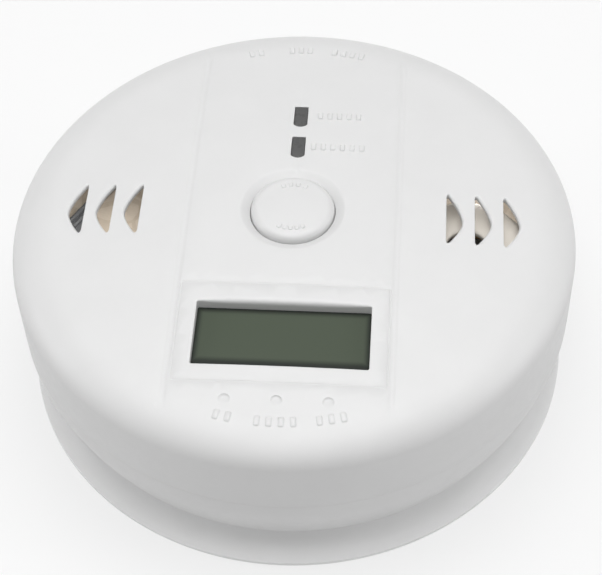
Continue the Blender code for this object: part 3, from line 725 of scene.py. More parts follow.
def inner_place(r, z):
    """Where the inside of the shell is, for a place on its outside."""
    plain_r = 40  # from here outward, the inside draws in to leave the side wall
    if r > plain_r:
        r = plain_r + (r - plain_r) * (BODY_R - SIDE_WALL - plain_r) / (BODY_R - plain_r)
    return r, z - TOP_WALL


def dome_z(r):
    """Height of the plain face at a distance from the middle."""
    return float(dome(np.array([[r, 0.0]]))[0])


def window_of(points, x, y, soft=1.5):
    """1 inside a rectangle given by its two x and two y limits, 0 well outside it."""
    px, py = np.abs(points[:, 0] - sum(x) / 2), np.abs(points[:, 1] - sum(y) / 2)
    return smooth(((x[1] - x[0]) / 2 + soft - px) / soft) * smooth(((y[1] - y[0]) / 2 + soft - py) / soft)


def underside(points):
    """The wall is thinner around the vents, and thicker around the display to reach its film."""
    r = np.hypot(points[:, 0], points[:, 1])
    height = dome(points)
    places = [inner_place(ri, zi) for ri, zi in zip(r, height)]
    share = np.array([p[0] for p in places]) / np.maximum(r, 1e-9)
    share[r < 1e-6] = 1.0
    z = np.array([p[1] for p in places])
    mirrored = np.column_stack([np.abs(points[:, 0]), points[:, 1]])
    z += 0.75 * window_of(mirrored, (26.0, 40.5), (-6.5, 7.0))
    frame_zone = window_of(points, (-15.6, 15.6), (DISPLAY_Y - 7.2, DISPLAY_Y + 7.2), 1.0)
    z += (WINDOW.z1 + 0.06 - z) * frame_zone
    return np.column_stack([points * share[:, None], z])


def dish(points):
    """The shallow funnel around the test button."""
    t = (DISH_R - np.hypot(points[:, 0], points[:, 1] - BUTTON_Y)) / (DISH_R - BUTTON_HOLE_R)
    t = np.clip(t, 0, 1)
    start = 0.3
    return -DISH_DEPTH * np.where(t < start, t * t / (2 * start), t - start / 2) / (1 - start / 2)


def word_of_blocks(count, radius, middle, step, size):
    """Outlines of blocks along an arc about the middle of a plate; in degrees, 90 is the top."""
    shapes = []
    for i in range(count):
        a = math.radians(middle + step * (i - (count - 1) / 2))
        cx, cy = radius * math.cos(a), radius * math.sin(a)
        tangent = a + math.pi / 2
        shape = []
        for px, py in rectangle(size[0], size[1], 0.28, 3):
            shape.append((cx + px * math.cos(tangent) - py * math.sin(tangent),
                          cy + px * math.sin(tangent) + py * math.cos(tangent)))
        shapes.append(shape)
    return shapes


def front_cover():
    plate = Plate(PLATE_R, dome)
    plate.rings = [41.5, 42.4, 43.3, 44.2, 45.1]  # evenly round the rounded edge
    for r in (DISH_R, 9.3, 9.1, 8.9, 8.6, 8.3, 8.0, 7.8):
        plate.chain(circle(0, BUTTON_Y, r, 112))
    plate.changes.append(([(-DISH_R, BUTTON_Y - DISH_R), (DISH_R, BUTTON_Y + DISH_R)], 0.3, dish))
    plate.opening(circle(0, BUTTON_Y, BUTTON_HOLE_R, 112), 0.12)

    for x in VENT_X:
        for side in (1, -1):
            shape = vent_outline(x, side)
            plate.opening(shape, [0.12 + 0.4 * float(smooth((abs(px) - x) / 0.4)) for px, _ in shape])
    for y in LIGHT_YS.values():
        plate.opening(light_outline(y, 0.06), 0.06)

    window = resampled(rectangle(DISPLAY_W, DISPLAY_H, 0.35, 4, (0, DISPLAY_Y)), 0.9)
    far = DISPLAY_Y + DISPLAY_H / 2
    radii = [0.12 + 0.75 * float(smooth((y - far + 0.5) / 0.5)) * max(0.0, 1 - (x / 15.2) ** 4)
             for x, y in window]
    plate.opening(window, radii)

    def band_fade(points):
        return smooth((45.6 - np.hypot(points[:, 0], points[:, 1])) / 3.0)

    reach = math.sqrt(BAND_END_R ** 2 - BAND_X ** 2)
    for side in (1, -1):
        plate.groove([(side * BAND_X, -reach), (side * BAND_X, reach)], 1.3, 0.16, fade=band_fade)
    plate.groove(rectangle(35.6, 19.9, 0.3, 3, (0, -26.05)), 0.4, 0.12, closed=True)
    plate.groove([(0.1, 27.2), (0.1, 29.8)], 1.2, 0.07)
    plate.groove([(0.1, 9.8), (0.1, 12.6)], 1.2, 0.07)

    for x in (-8.5, 0.0, 8.5):
        dimple(plate, x, -39.4)
    for words, radius, turn, height in ((UPPER_WORDS, 42.3, 2.35, 0.24), (LOWER_WORDS, 43.4, 2.6, 0.17)):
        for middle, count in words:
            for shape in word_of_blocks(count, radius, middle, turn, BLOCK_SIZE):
                plate.mark(shape, height)
    for y, first, count in LIGHT_WORDS:
        for i in range(count):
            plate.mark(rectangle(1.0, 1.8, 0.28, 3, (first + 1.75 * i, y)), 0.24)

    verts, faces, rim, inner_rim = plate.shell(underside)
    outer = edge_profile(PLATE_R)
    bottom = SEAM_Z + SEAM_GAP / 2
    wall = [(BODY_R, z) for z in np.linspace(outer[-1][1] - 1.0, bottom + 0.4, 5)]
    lip = [(BODY_R, bottom + 0.06), (BODY_R - 0.02, bottom + 0.01), (BODY_R - 0.06, bottom),
           (BODY_R - SIDE_WALL, bottom)]
    last = skin(verts, faces, rim, outer + wall + lip)
    inside_profile = [inner_place(r, z) for r, z in outer]
    inner_last = skin(verts, faces, inner_rim, inside_profile)
    bridge(faces, last, inner_last)
    seat(piece("cover_shell", verts, faces, CASE), "detector", "case_plastic", "front_cover")
    cover_fixings()


def cover_fixings():
    """Tubular pillars for the case screws and posts that hold the board, under the face."""
    shapes = []
    for x, y in CASE_SCREWS:
        top = dome_z(math.hypot(x, y)) - 1.0
        foot = BOARD.z0 - 1.3
        pillar = [(0, 31.0), (1.5, 31.0), (1.5, foot), (3.2, foot), (3.2, top - 2.2), (3.9, top), (0, top)]
        shapes.append(turned_at(rounded(pillar, 0.25), 40, x, y))
    for x, y in BOARD_SCREWS:
        top = dome_z(DOME_R) - 1.0
        post = [(0, 31.0), (1.2, 31.0), (1.2, POST_FOOT_Z), (2.5, POST_FOOT_Z), (2.5, top - 2),
                (3.0, top), (0, top)]
        shapes.append(turned_at(rounded(post, 0.2), 32, x, y))
    fitted("cover_pillars", mesh_of(*shapes), CASE, "case_plastic", "front_cover")


def dimple(plate, x, y):
    """A small thumb mark, deepest at its far side."""
    for r in (0.4, 0.7, 0.85, 1.0, 1.1):
        plate.chain(circle(x, y, r, 28))

    def change(points):
        r = np.hypot(points[:, 0] - x, points[:, 1] - y)
        slope = smooth((points[:, 1] - y + 1.0) / 2)
        return -0.3 * slope * smooth((1.02 - r) / 0.28)

    plate.changes.append(([(x - 1, y - 1), (x + 1, y + 1)], 0.2, change))


# ---------------------------------------------------------- other outer pieces

def terminal_places():
    """Where the two solder tabs rise: negative of the first cell, positive of the last."""
    return [(-CELL_PITCH, -CONTACT_Y), (CELL_PITCH, CONTACT_Y)]


def channel_cutters():
    """Ways for the base's lugs: entries from below, and channels to turn along."""
    near_r, far_r = 38.9, 42.8
    channels = [sector(near_r, far_r, i * 90 - 22, i * 90 + 7, 3.3, 5.4, 11) for i in range(4)]
    entries = [sector(near_r, far_r, i * 90 - 22, i * 90 - 8, 0.0, 4.1, 5) for i in range(4)]
    return channels, entries


def rear_housing():
    top = SEAM_Z - SEAM_GAP / 2
    outer = [(0, 2.3), (41.0, 2.3), (41.3, 2.6), (41.3, 6.0), (46.0, 6.0), (46.35, 6.15), (46.6, 6.5),
             (47.7, 9.2), (48.6, 11.6), (49.4, 14.2), (49.85, 16.2), (49.97, 17.4), (49.97, top - 0.06),
             (49.95, top - 0.01), (49.9, top)]
    inner = [(47.9, top), (47.9, 21.8), (47.7, 22.0), (46.9, 22.0), (46.7, 21.8), (46.7, 16.4),
             (46.8, 11.5), (44.5, 7.6), (37.8, 7.6), (37.8, 3.9), (0, 3.9)]
    bay_x, bay_y = BAY_HALF
    bay = [block((-bay_x - BAY_WALL, bay_x + BAY_WALL), (-bay_y - BAY_WALL, bay_y + BAY_WALL),
                 (2.8, BAY_ROOF_Z))]
    towers = [rod(x, y, 3.5, 2.7, SEAM_Z - 0.9) for x, y in CASE_SCREWS]
    arches = [moved(rotated(rod(0, 0, 7.55, -bay_y, bay_y, 64), 90, "X"), i * CELL_PITCH, 0, CELL_Z)
              for i in (-1, 0, 1)]
    holes = [rod(x, y, 1.6, 0.0, SEAM_Z + 2, 24) for x, y in CASE_SCREWS]
    sinks = [rod(x, y, 2.7, 0.0, 12.0) for x, y in CASE_SCREWS]
    tabs = [moved(block((-1.9, 1.9), (-0.6, 0.6), (CELL_Z, SEAM_Z + 2)), x, y, 0)
            for x, y in terminal_places()]
    channels, entries = channel_cutters()
    room = [block((-bay_x, bay_x), (-bay_y, bay_y), (0.0, CELL_Z + 2.7))]
    mesh = carved(mesh_of(turned(outer + inner, 192)), room, arches, holes, sinks, tabs, channels, entries,
                  added=(bay, towers))
    fitted("rear_shell", mesh, CASE, "case_plastic", "rear_housing", sharp=30)


def mounting_base():
    top_r, up = 45.0, 4.7
    across = BASE_R - top_r
    cove = []
    for i in range(15):
        t = math.pi / 2 * i / 14
        cove.append((BASE_R - across * math.sin(t), 1.0 + up * (1 - math.cos(t))))
    outer = [(0, 0), (BASE_R - 0.45, 0), (BASE_R - 0.13, 0.13), (BASE_R, 0.45), (BASE_R, 0.75),
             (BASE_R - 0.08, 0.93)]
    inner = [(42.2, 5.7), (41.9, 5.4), (41.9, 2.0), (0, 2.0)]
    angles = [i * 90 for i in range(4)]
    lugs = [sector(39.3, 42.9, a - 6, a + 6, 3.6, 5.1) for a in angles]
    under_lugs = [sector(39.0, 41.3, a - 7, a + 7, -1.0, 2.5) for a in angles]
    slots = [moved(prism(slot_outline(3.4, 2.1, 16), -1.0, 4.0), side * 30, 0, 0) for side in (1, -1)]
    start = math.degrees(math.asin(2.1 / 4))
    keyhole = arc(0, 0, 4, start, 360 - start, 32) + arc(8.9, 0, 2.1, -90, 90, 12)
    keyholes = [moved(prism(keyhole, -1.0, 4.0), 0, side * 30, 0) for side in (1, -1)]
    profile = [(43.2, -1.0), (47.6, -1.0), (47.6, 0.3), (46.6, 1.5), (45.4, 2.9), (43.2, 4.0)]
    half = 15 - math.degrees(0.7 / 43.2)
    pockets = [wedge(profile, (i + 0.5) * 30 - half, (i + 0.5) * 30 + half, 11) for i in range(12)]
    mesh = carved(mesh_of(turned(outer + cove[1:] + inner, 192)), under_lugs, slots, keyholes, pockets,
                  added=(lugs,))
    fitted("base_ring", mesh, BASE_PLASTIC, "base_plastic", "mounting_base", sharp=30, body="base")


def test_button():
    """Cap with soft edges and low marks, a retaining flange, and a stem that reaches the switch."""
    top, r, edge = BUTTON.z1, BUTTON_R, 1.5
    flat_r = r - edge

    def crown(points):
        away = np.hypot(points[:, 0], points[:, 1])
        return top - 0.1 - 0.12 * (away / flat_r) ** 2

    plate = Plate(flat_r, crown, 128, 0.9)
    for middle, count, turn, radius in BUTTON_WORDS:
        for shape in word_of_blocks(count, min(radius, flat_r - 0.85), middle, turn, (0.85, 1.1)):
            plate.mark(shape, 0.16, 0.15)
    verts, faces, rim, inner_rim = plate.shell(
        lambda points: np.column_stack([points * 0.95, np.full(len(points), top - 1.5)]))
    crown_z = top - 0.22
    profile = []
    for i in range(1, 11):
        t = math.pi / 2 * i / 10
        profile.append((flat_r + edge * math.sin(t), crown_z - 1.15 * (1 - math.cos(t))))
    flange = BUTTON.z0 + 6.6
    profile += [(r, flange + 0.15), (r + 0.1, flange), (8.5, flange), (8.6, flange - 0.1),
                (8.6, flange - 1.1), (8.5, flange - 1.2), (6.2, flange - 1.2)]
    last = skin(verts, faces, rim, profile)
    bridge(faces, last, inner_rim)
    verts = [(x, y + BUTTON_Y, z) for x, y, z in verts]
    seat(piece("button_cap", verts, faces, BUTTON_PLASTIC), "button", "button_plastic", "test_button")
    stem = [(0, BUTTON.z0), (1.8, BUTTON.z0), (1.8, top - 1.45), (0, top - 1.45)]
    stem = turned_at(rounded(stem, 0.2), 32, 0, BUTTON_Y)
    fitted("button_stem", mesh_of(stem), BUTTON_PLASTIC, "button_plastic", "test_button", body="button")


def light_windows():
    for name, y in LIGHT_YS.items():
        node = f"{name}_light_window"
        top = Box(node).z1
        lens = slab(light_outline(y), 34.0, top, 0.12)
        flange = slab(rectangle(4.6, LIGHT_LENGTH + 1.8, 0.5, 4, (0, y)), 33.0, 34.2, 0.15, 2)
        pipe = rod(0, y, 1.5, 28.0, 33.5)
        fitted(f"{name}_lens", mesh_of(lens, flange, pipe), SMOKED, "smoked_lens", node)


def polariser_painted_shade_look():
    """Matt green-grey film of a display, with painted shade that darkens it along the edges of its opening.
    """
    look = Look("display_window", (0.070, 0.0855, 0.062), 0.6)
    hidden = 1.5  # how much of the film the opening's far edge hides from the front
    # Painted shade: a mask that grows towards the edges of the opening, where its walls shade the film.
    reach = []
    for axis, middle, half in (("X", 0.0, DISPLAY_W / 2),
                               ("Y", DISPLAY_Y + hidden / 2, (DISPLAY_H - hidden) / 2)):
        away = look.calculate("ABSOLUTE", look.calculate("SUBTRACT", look.axis(axis), middle * MM))
        reach.append(look.span(away, half - 1.5, half + 0.1))
    edge = look.calculate("MAXIMUM", *reach)
    # The dark end of this ramp is painted shade from the opening's walls, not a colour of the film.
    color = look.ramp(edge, look.color, (0.026, 0.03, 0.026), (0.1, 1.0), "EASE")
    look.link(color, look.shader.inputs["Base Color"])
    look.bump(look.noise(0.3, 2.0), 0.001)
    return look.set("Specular IOR Level", 0.12).mat


def striped(name, dark, light, pitch):
    """Fine upright bands along X, as in the rubber strips that feed a display."""
    look = Look(name, dark, 0.5)
    bands = look.nodes.new("ShaderNodeTexWave")
    bands.inputs["Scale"].default_value = 1 / (math.pi * pitch * MM)
    look.link(look.place, bands.inputs["Vector"])
    look.link(look.ramp(bands.outputs["Fac"], dark, light, (0.45, 0.55)), look.shader.inputs["Base Color"])
    return look.bump(look.noise(0.3), 0.003).mat


def filled(name, node, slot, corner, edge, mat):
    """A rounded slab that fills a frame node's box."""
    box = Box(node)
    fitted(name, mesh_of(slab(box.outline(corner, 5), box.z0, box.z1, edge)), mat, slot, node)


def display():
    filled("display_film", "display_window", "display_window", 1.0, 0.12, polariser_painted_shade_look())
    cell = Look("display_panel", (0.30, 0.34, 0.29), 0.12).mottle(6.0, 0.04).gloss(5.0, 0.03).mat
    filled("display_cell", "display_panel", "display_panel", 0.2, 0.1, cell)
    backing = moulded("display_diffuser", (0.62, 0.66, 0.58), 0.55).mat
    filled("display_backing", "display_diffuser", "display_diffuser", 0.4, 0.2, backing)
    rubber = striped("zebra_strip", (0.02, 0.02, 0.02), (0.62, 0.60, 0.55), 0.5)
    for side in ("upper", "lower"):
        filled(f"zebra_{side}", f"display_zebra_strip_{side}", "zebra_strip", 0.3, 0.12, rubber)
    box = Box("display_frame")
    rim = slab(box.outline(1.0, 6), box.z0, box.z1, 0.25)
    opening = prism(box.outline(0.25, 3, 2.6), box.z0 - 1, box.z1 + 1)
    clips = [block((x - 1.6, x + 1.6), (y - 0.35, y + 0.35), (box.z0 + 2, box.z1 - 0.6))
             for x in (-10, 10) for y in (box.y0 + 0.35, box.y1 - 0.35)]
    mesh = carved(carved(mesh_of(rim), [opening]), added=(clips,))
    fitted("display_bezel", mesh, BLACK, "black_plastic", "display_frame")


# ---------------------------------------------------------------- inner pieces

def helix(radius, height, pitch, low, high, x, y, taper=1.5, sides=28):
    """The threaded shank of a screw that points up; its last part runs to a point."""
    rows = int((high - low) / pitch * 6)
    loops = []
    for k in range(rows + 1):
        z = low + (high - low) * k / rows
        shrink = min(1.0, max(0.12, (high - z) / taper))
        loop = []
        for i in range(sides):
            turn = i / sides
            phase = ((z - low) / pitch - turn) % 1.0
            ridge = max(0.0, 1 - abs(phase - 0.5) / 0.32)
            r = (radius - height + height * ridge) * shrink
            loop.append((x + r * math.cos(2 * math.pi * turn), y + r * math.sin(2 * math.pi * turn), z))
        loops.append(loop)
    bm = bmesh.new()
    loft(bm, loops)
    return bm


def screws():
    for group, count, shank in (("case", 4, 1.2), ("board", 3, 0.9)):
        for index in range(1, count + 1):
            node = f"{group}_screw_{index}"
            box = Box(node)
            r, foot = box.r, box.z0 + 1.7
            head = [(0, box.z0), (r - 0.9, box.z0), (r - 0.35, box.z0 + 0.25), (r, box.z0 + 0.9),
                    (r, foot - 0.12), (r - 0.12, foot), (0, foot)]
            arm, half = r * 0.6, 0.33
            cross = [(half, half), (half, arm), (-half, arm), (-half, half), (-arm, half), (-arm, -half),
                     (-half, -half), (-half, -arm), (half, -arm), (half, -half), (arm, -half), (arm, half)]
            recess = moved(prism(cross, box.z0 - 1, box.z0 + 1.0), box.x, box.y, 0)
            cap = carved(mesh_of(turned_at(head, 40, box.x, box.y)), [recess])
            fitted(f"{node}_head", cap, STEEL, "steel", node)
            thread = mesh_of(helix(shank, 0.25, 0.9, foot - 0.05, box.z1, box.x, box.y))
            fitted(f"{node}_thread", thread, STEEL, "steel", node, sharp=60)


def tube(name, points, radius, mat):
    """A round wire through a list of points."""
    curve = bpy.data.curves.new(name, "CURVE")
    curve.dimensions = "3D"
    spline = curve.splines.new("POLY")
    spline.points.add(len(points) - 1)
    for point, place in zip(spline.points, points):
        point.co = (*(Vector(place) * MM), 1.0)
    curve.bevel_depth = radius * MM
    curve.bevel_resolution = 4
    curve.use_fill_caps = True
    curve.materials.append(mat)
    obj = bpy.data.objects.new(name, curve)
    bpy.context.scene.collection.objects.link(obj)
    return obj


def batteries():
    jacket = battery_look()
    for index, (x, facing) in enumerate(((-CELL_PITCH, 1), (0.0, -1), (CELL_PITCH, 1)), 1):
        tip = BAY_HALF[1] - 1.1
        body = CELL_LENGTH - 1.3

        def placed(bm):
            return moved(rotated(bm, -90 * facing, "X"), x, facing * (tip - CELL_LENGTH), CELL_Z)

        sleeve = [(5.9, 0.05), (6.6, 0.05), (CELL_R, 0.5), (CELL_R, body - 0.5), (6.6, body - 0.05),
                  (5.9, body - 0.05), (5.9, body - 0.35), (5.9, 0.35)]
        node = f"battery_{index}"
        wrap = placed(turned(rounded(sleeve, 0.3), 72))
        fitted(f"{node}_jacket", mesh_of(wrap), jacket, "battery_jacket", node)
        cap = [(0, 0.22), (2.6, 0.22), (3.0, 0.0), (4.9, 0.0), (5.2, 0.25), (6.2, 0.3), (6.2, body - 0.3),
               (3.6, body - 0.3), (3.3, body - 0.1), (2.75, body), (2.75, CELL_LENGTH - 0.35),
               (2.45, CELL_LENGTH), (0, CELL_LENGTH)]
        ends = placed(turned(rounded(cap, 0.12, 2), 64))
        fitted(f"{node}_caps", mesh_of(ends), NICKEL, "battery_jacket", node)
        spring(index, x, facing, tip)
    half, low, high = 5.0, CELL_Z - 5.0, CELL_Z + 2.0
    for node, x0, x1, side in (("battery_link_1", -CELL_PITCH, 0.0, 1),
                               ("battery_link_2", 0.0, CELL_PITCH, -1)):
        strip = rectangle(x1 - x0 + 2 * half, high - low, 0.8, 5, ((x0 + x1) / 2, (low + high) / 2))
        contact_plate(node, strip, (x0, x1), side)
    for node, x, side in (("battery_terminal_negative", -CELL_PITCH, -1),
                          ("battery_terminal_positive", CELL_PITCH, 1)):
        tip_z = Box(node).z1
        r = 0.6
        outline = arc(x - half + r, low + r, r, 180, 270, 4) + arc(x + half - r, low + r, r, 270, 360, 4)
        outline += arc(x + half - r, high - r, r, 0, 90, 4) + [(x + 1.5, high), (x + 1.5, tip_z - 0.4)]
        outline += [(x + 1.1, tip_z), (x - 1.1, tip_z), (x - 1.5, tip_z - 0.4), (x - 1.5, high)]
        outline += arc(x - half + r, high - r, r, 90, 180, 4)
        contact_plate(node, outline, (x,), side)


def contact_plate(node, outline, dimples, side):
    """Pressed strip with a shallow dome where a cell or a spring touches it; outline is (x, z)."""
    strip = slab(outline, -0.25, 0.25, 0.07, 2)
    domes = [turned([(0, -0.2), (2.2, -0.2), (2.2, 0.26), (1.6, 0.33), (0, 0.38)], 32) for _ in dimples]
    domes = [moved(rotated(rotated(bm, 90, "X"), 90 - 90 * side, "Z"), x, side * CONTACT_Y, CELL_Z)
             for bm, x in zip(domes, dimples)]
    shapes = [moved(rotated(strip, 90, "X"), 0, side * CONTACT_Y, 0)] + domes
    fitted(node.replace("battery", "contact"), mesh_of(*shapes), NICKEL, "nickel_plate", node)


def spring(index, x, facing, tip):
    """Conical contact spring, pressed against a cell's negative end."""
    back, front = tip - 0.35, CELL_LENGTH - tip + 0.65
    points = []
    for i in range(151):
        t = i / 150
        radius = 4.2 - 1.9 * t
        turn = 2 * math.pi * 3 * t
        points.append((x + radius * math.cos(turn), -facing * (back + (front - back) * smooth(t)),
                       CELL_Z + radius * math.sin(turn)))
    node = f"battery_spring_{index}"
    seat(tube(f"spring_{index}", points, 0.35, NICKEL), "detector", "nickel_plate", node)


def leads():
    for name, side, color in (("red", 1, (0.45, 0.03, 0.025)), ("black", -1, (0.02, 0.02, 0.02))):
        node = f"buzzer_lead_{name}"
        box = Box(node)
        z = box.z1 - 0.35
        x0, x1 = box.x0 + 0.35, box.x1 - 0.35
        near_y, far_y = (box.y0, box.y1) if side > 0 else (box.y1, box.y0)
        start = Vector((x0, near_y + side * 0.35, z))
        end = Vector((x1, far_y - side * 0.35, box.z0 + 0.1))
        bend = Vector((x1 - 1.5, far_y - side * 1.9, z))
        mat = moulded(f"{name}_wire", color, 0.4).mat
        wire = tube(f"lead_{name}", curved(start, bend, end, 24), 0.35, mat)
        seat(wire, "detector", f"{name}_wire", node)


def lead_pad():
    """Soft pad on the board that the sensor's leads are pressed into."""
    outline = [(-41.5, 4.0), (-38.1, 4.0), (-38.1, 13.2), (-38.9, 13.2), (-43.1, 6.2)]
    pad = slab(outline, BOARD.z1, BOARD.z1 + 0.9, 0.2)
    fitted("lead_pad", mesh_of(pad), SHEATH, "black_plastic")


def circuit_board():
    """Phenolic board with its cut-outs, solder joints and printed pads."""
    low, high = BOARD.z0 - 1, BOARD.z1 + 1
    sheet = slab(circle(0, 0, BOARD.x1, 144), BOARD.z0, BOARD.z1, 0.12, 2)
    notches = [rod(x * 1.1, y * 1.1, 7.3, low, high, 48) for x, y in CASE_SCREWS]
    holes = [rod(x, y, 1.4, low, high, 24) for x, y in BOARD_SCREWS]
    tabs = [moved(block((-1.9, 1.9), (-0.7, 0.7), (low, high)), x, y, 0) for x, y in terminal_places()]
    mesh = carved(mesh_of(sheet), notches, holes, tabs)
    fitted("board_sheet", mesh, board_look(), "circuit_board", "circuit_board", sharp=30)
    joints = []
    below, above = BOARD.z0, BOARD.z1
    pins = [(-1.27, y) for y in LIGHT_YS.values()] + [(1.27, y) for y in LIGHT_YS.values()]
    pins += [(x, BUTTON_Y + y) for x in (-3.2, 3.2) for y in (-2.2, 2.2)]
    pins += [(-38.0, -14.0), (-34.0, -14.0), (9.4, 30.0), (14.6, 30.0), (9.6, -10.0), (14.4, -10.0)]
    for x, y in pins:
        joints.append(turned_at([(0, below - 0.9), (0.3, below - 0.8), (0.45, below - 0.35),
                                 (0.95, below + 0.02), (0, below + 0.02)], 20, x, y))
    for x, y in ((-42.1, 6.4), (-21.0, 21.2), (36.3, 2.9), (36.3, -8.1)):
        joints.append(turned_at([(0, above - 0.02), (1.1, above - 0.02), (0.9, above + 0.06),
                                 (0, above + 0.1)], 24, x, y))
    fitted("solder_joints", mesh_of(*joints), SOLDER, "circuit_board", "circuit_board")


def board_look():
    """Tan phenolic sheet with faint paper fibre and the shadows of its copper tracks."""
    look = Look("circuit_board", (0.43, 0.37, 0.30), 0.5)
    cells = look.nodes.new("ShaderNodeTexVoronoi")
    cells.feature = "DISTANCE_TO_EDGE"
    cells.distance = "CHEBYCHEV"
    cells.inputs["Scale"].default_value = 1 / (5.5 * MM)
    look.link(look.place, cells.inputs["Vector"])
    tracks = look.ramp(cells.outputs["Distance"], (0.37, 0.315, 0.25), look.color, (0.055, 0.065))
    mix = look.nodes.new("ShaderNodeMixRGB")
    mix.blend_type = "MULTIPLY"
    mix.inputs["Fac"].default_value = 0.5
    look.link(tracks, mix.inputs["Color1"])
    look.link(look.ramp(look.noise(0.7, 5.0, (1, 5, 1)), (0.86, 0.86, 0.86), (1.0, 1.0, 1.0)),
              mix.inputs["Color2"])
    look.link(mix.outputs["Color"], look.shader.inputs["Base Color"])
    return look.gloss(1.2, 0.07).bump(cells.outputs["Distance"], 0.01, 0.3).mat


def battery_look():
    """Plain printed jacket: a dark band and a light band along the cell."""
    look = Look("battery_jacket", (0.03, 0.05, 0.08), 0.28)
    along = look.span(look.axis("Y"), -BAY_HALF[1], BAY_HALF[1])
    color = look.ramp(along, (0.035, 0.06, 0.10), (0.38, 0.40, 0.42), (0.70, 0.705))
    look.link(color, look.shader.inputs["Base Color"])
    return look.gloss(2.0, 0.06).bump(look.noise(1.5), 0.006).mat


def led_body(node, hue, color):
    """Three-millimetre LED: a domed lens on a collar with one flat side."""
    box = Box(node)
    y, z0, r = box.y, box.z0, 1.5
    dome_part = [(r * math.cos(math.pi / 2 * i / 8), box.z1 - r + r * math.sin(math.pi / 2 * i / 8))
                 for i in range(9)]
    lens = turned_at([(0, z0 + 0.9), (r, z0 + 0.9)] + dome_part[:-1] + [(0, box.z1)], 40, 0, y)
    collar = [p for p in circle(0, y, 1.9, 40) if p[1] - y > -1.55]
    plastic = Look(f"{hue}_led", color, 0.15).mottle(2.0, 0.05).gloss(1.0, 0.04)
    mat = plastic.set("Transmission Weight", 0.35).mat
    fitted(f"{hue}_lens", mesh_of(lens, slab(collar, z0, z0 + 1.0, 0.1, 2)), mat, f"{hue}_led", node)


def buzzer():
    box = Box("buzzer_housing")
    x, y, r, z0, z1 = box.x, box.y, box.r, box.z0, box.z1
    hole, ledge = 3.75, z0 + 3.4
    cup = [(r - 1.2, z0), (r, z0), (r, z1 - 0.9), (r - 0.9, z1), (hole + 0.5, z1), (hole, z1 - 0.2),
           (hole, z1 - 1.2), (r - 2.3, z1 - 1.2), (r - 2.3, ledge), (r - 1.2, ledge)]
    cup = turned_at(rounded(cup, 0.5, 4), 96, x, y)
    fitted("buzzer_cup", mesh_of(cup), CREAM, "buzzer_cup", "buzzer_housing")
    disc = Box("piezo_disc")
    rim, z = disc.r, disc.z0
    plate = turned_at([(0, z), (rim - 0.05, z), (rim, z + 0.05), (rim, z + 0.2), (rim - 0.05, z + 0.25),
                       (0, z + 0.25)], 72, x, y)
    fitted("piezo_plate", mesh_of(plate), BRASS, "brass", "piezo_disc")
    top = turned_at([(0, z + 0.24), (rim - 2.3, z + 0.24), (rim - 2.3, disc.z1 - 0.05),
                     (rim - 2.35, disc.z1), (0, disc.z1)], 64, x, y)
    fitted("piezo_crystal", mesh_of(top), SOLDER, "brass", "piezo_disc")


def co_sensor():
    box = Box("co_sensor")
    x, y, r, z0, z1 = box.x, box.y, box.r, box.z0, box.z1
    can = [(0, z0), (r - 0.6, z0), (r, z0 + 0.6), (r, z0 + 6.2), (r - 0.25, z0 + 6.6), (r - 0.8, z0 + 6.8),
           (r - 0.8, z0 + 7.4), (r - 0.3, z0 + 7.7), (r - 0.2, z0 + 8.1), (r - 0.2, z1 - 0.6),
           (r - 0.7, z1), (7.3, z1), (7.0, z1 - 0.5), (5.4, z1 - 0.6), (5.2, z1 - 0.85), (0, z1 - 0.85)]
    shell = turned_at(rounded(can, 0.25), 96, x, y)
    fitted("sensor_can", mesh_of(shell), CAN, "sensor_can", "co_sensor")
    holes = [(0.0, 0.0)] + circle(0, 0, 1.7, 6) + circle(0, 0, 3.4, 12)
    pad = [(0, z1 - 0.9), (0.45, z1 - 0.9), (0.45, z1 - 0.84), (0, z1 - 0.84)]
    pads = [turned_at(pad, 16, x + px, y + py) for px, py in holes]
    fitted("sensor_inlets", mesh_of(*pads), BLACK, "sensor_can", "co_sensor")


def chip(node, legs):
    """Moulded chip with a pin-one dimple and bent legs; legs is how many each Y and each X side has."""
    box = Box(node)
    x, y, z = box.x, box.y, box.z0
    reach = 0.9
    w = box.wide - 2 * reach * (legs[1] > 0)
    h = box.tall - 2 * reach * (legs[0] > 0)
    body = mesh_of(slab(rectangle(w, h, 0.15, 2, (x, y)), z + 0.12, box.z1, 0.14, 2))
    pin_one = rod(x - w / 2 + 0.8, y + h / 2 - 0.8, 0.35, box.z1 - 0.12, box.z1 + 1, 20)
    body = carved(body, [pin_one])
    fitted(f"{node}_body", body, CHIP, "chip", node)
    bent = [(-0.1, z + 0.6), (0.3, z + 0.6), (0.45, z + 0.15), (reach, z + 0.15), (reach, z), (0.3, z),
            (0.2, z + 0.45), (-0.1, z + 0.45)]
    shapes = []
    for along_x, count, half, side_length in ((True, legs[0], h / 2, w), (False, legs[1], w / 2, h)):
        for side in (1, -1):
            for i in range(count):
                along = (i - (count - 1) / 2) * min(0.8, (side_length - 0.6) / max(count - 1, 1))
                rows = []
                for e in (-0.16, 0.16):
                    out = [(along + e, side * (half + p), up) for p, up in bent]
                    rows.append([(x + a, y + b, up) if along_x else (x + b, y + a, up) for a, b, up in out])
                leg = bmesh.new()
                loft(leg, rows)
                shapes.append(leg)
    fitted(f"{node}_legs", mesh_of(*shapes), SOLDER, "chip", node)


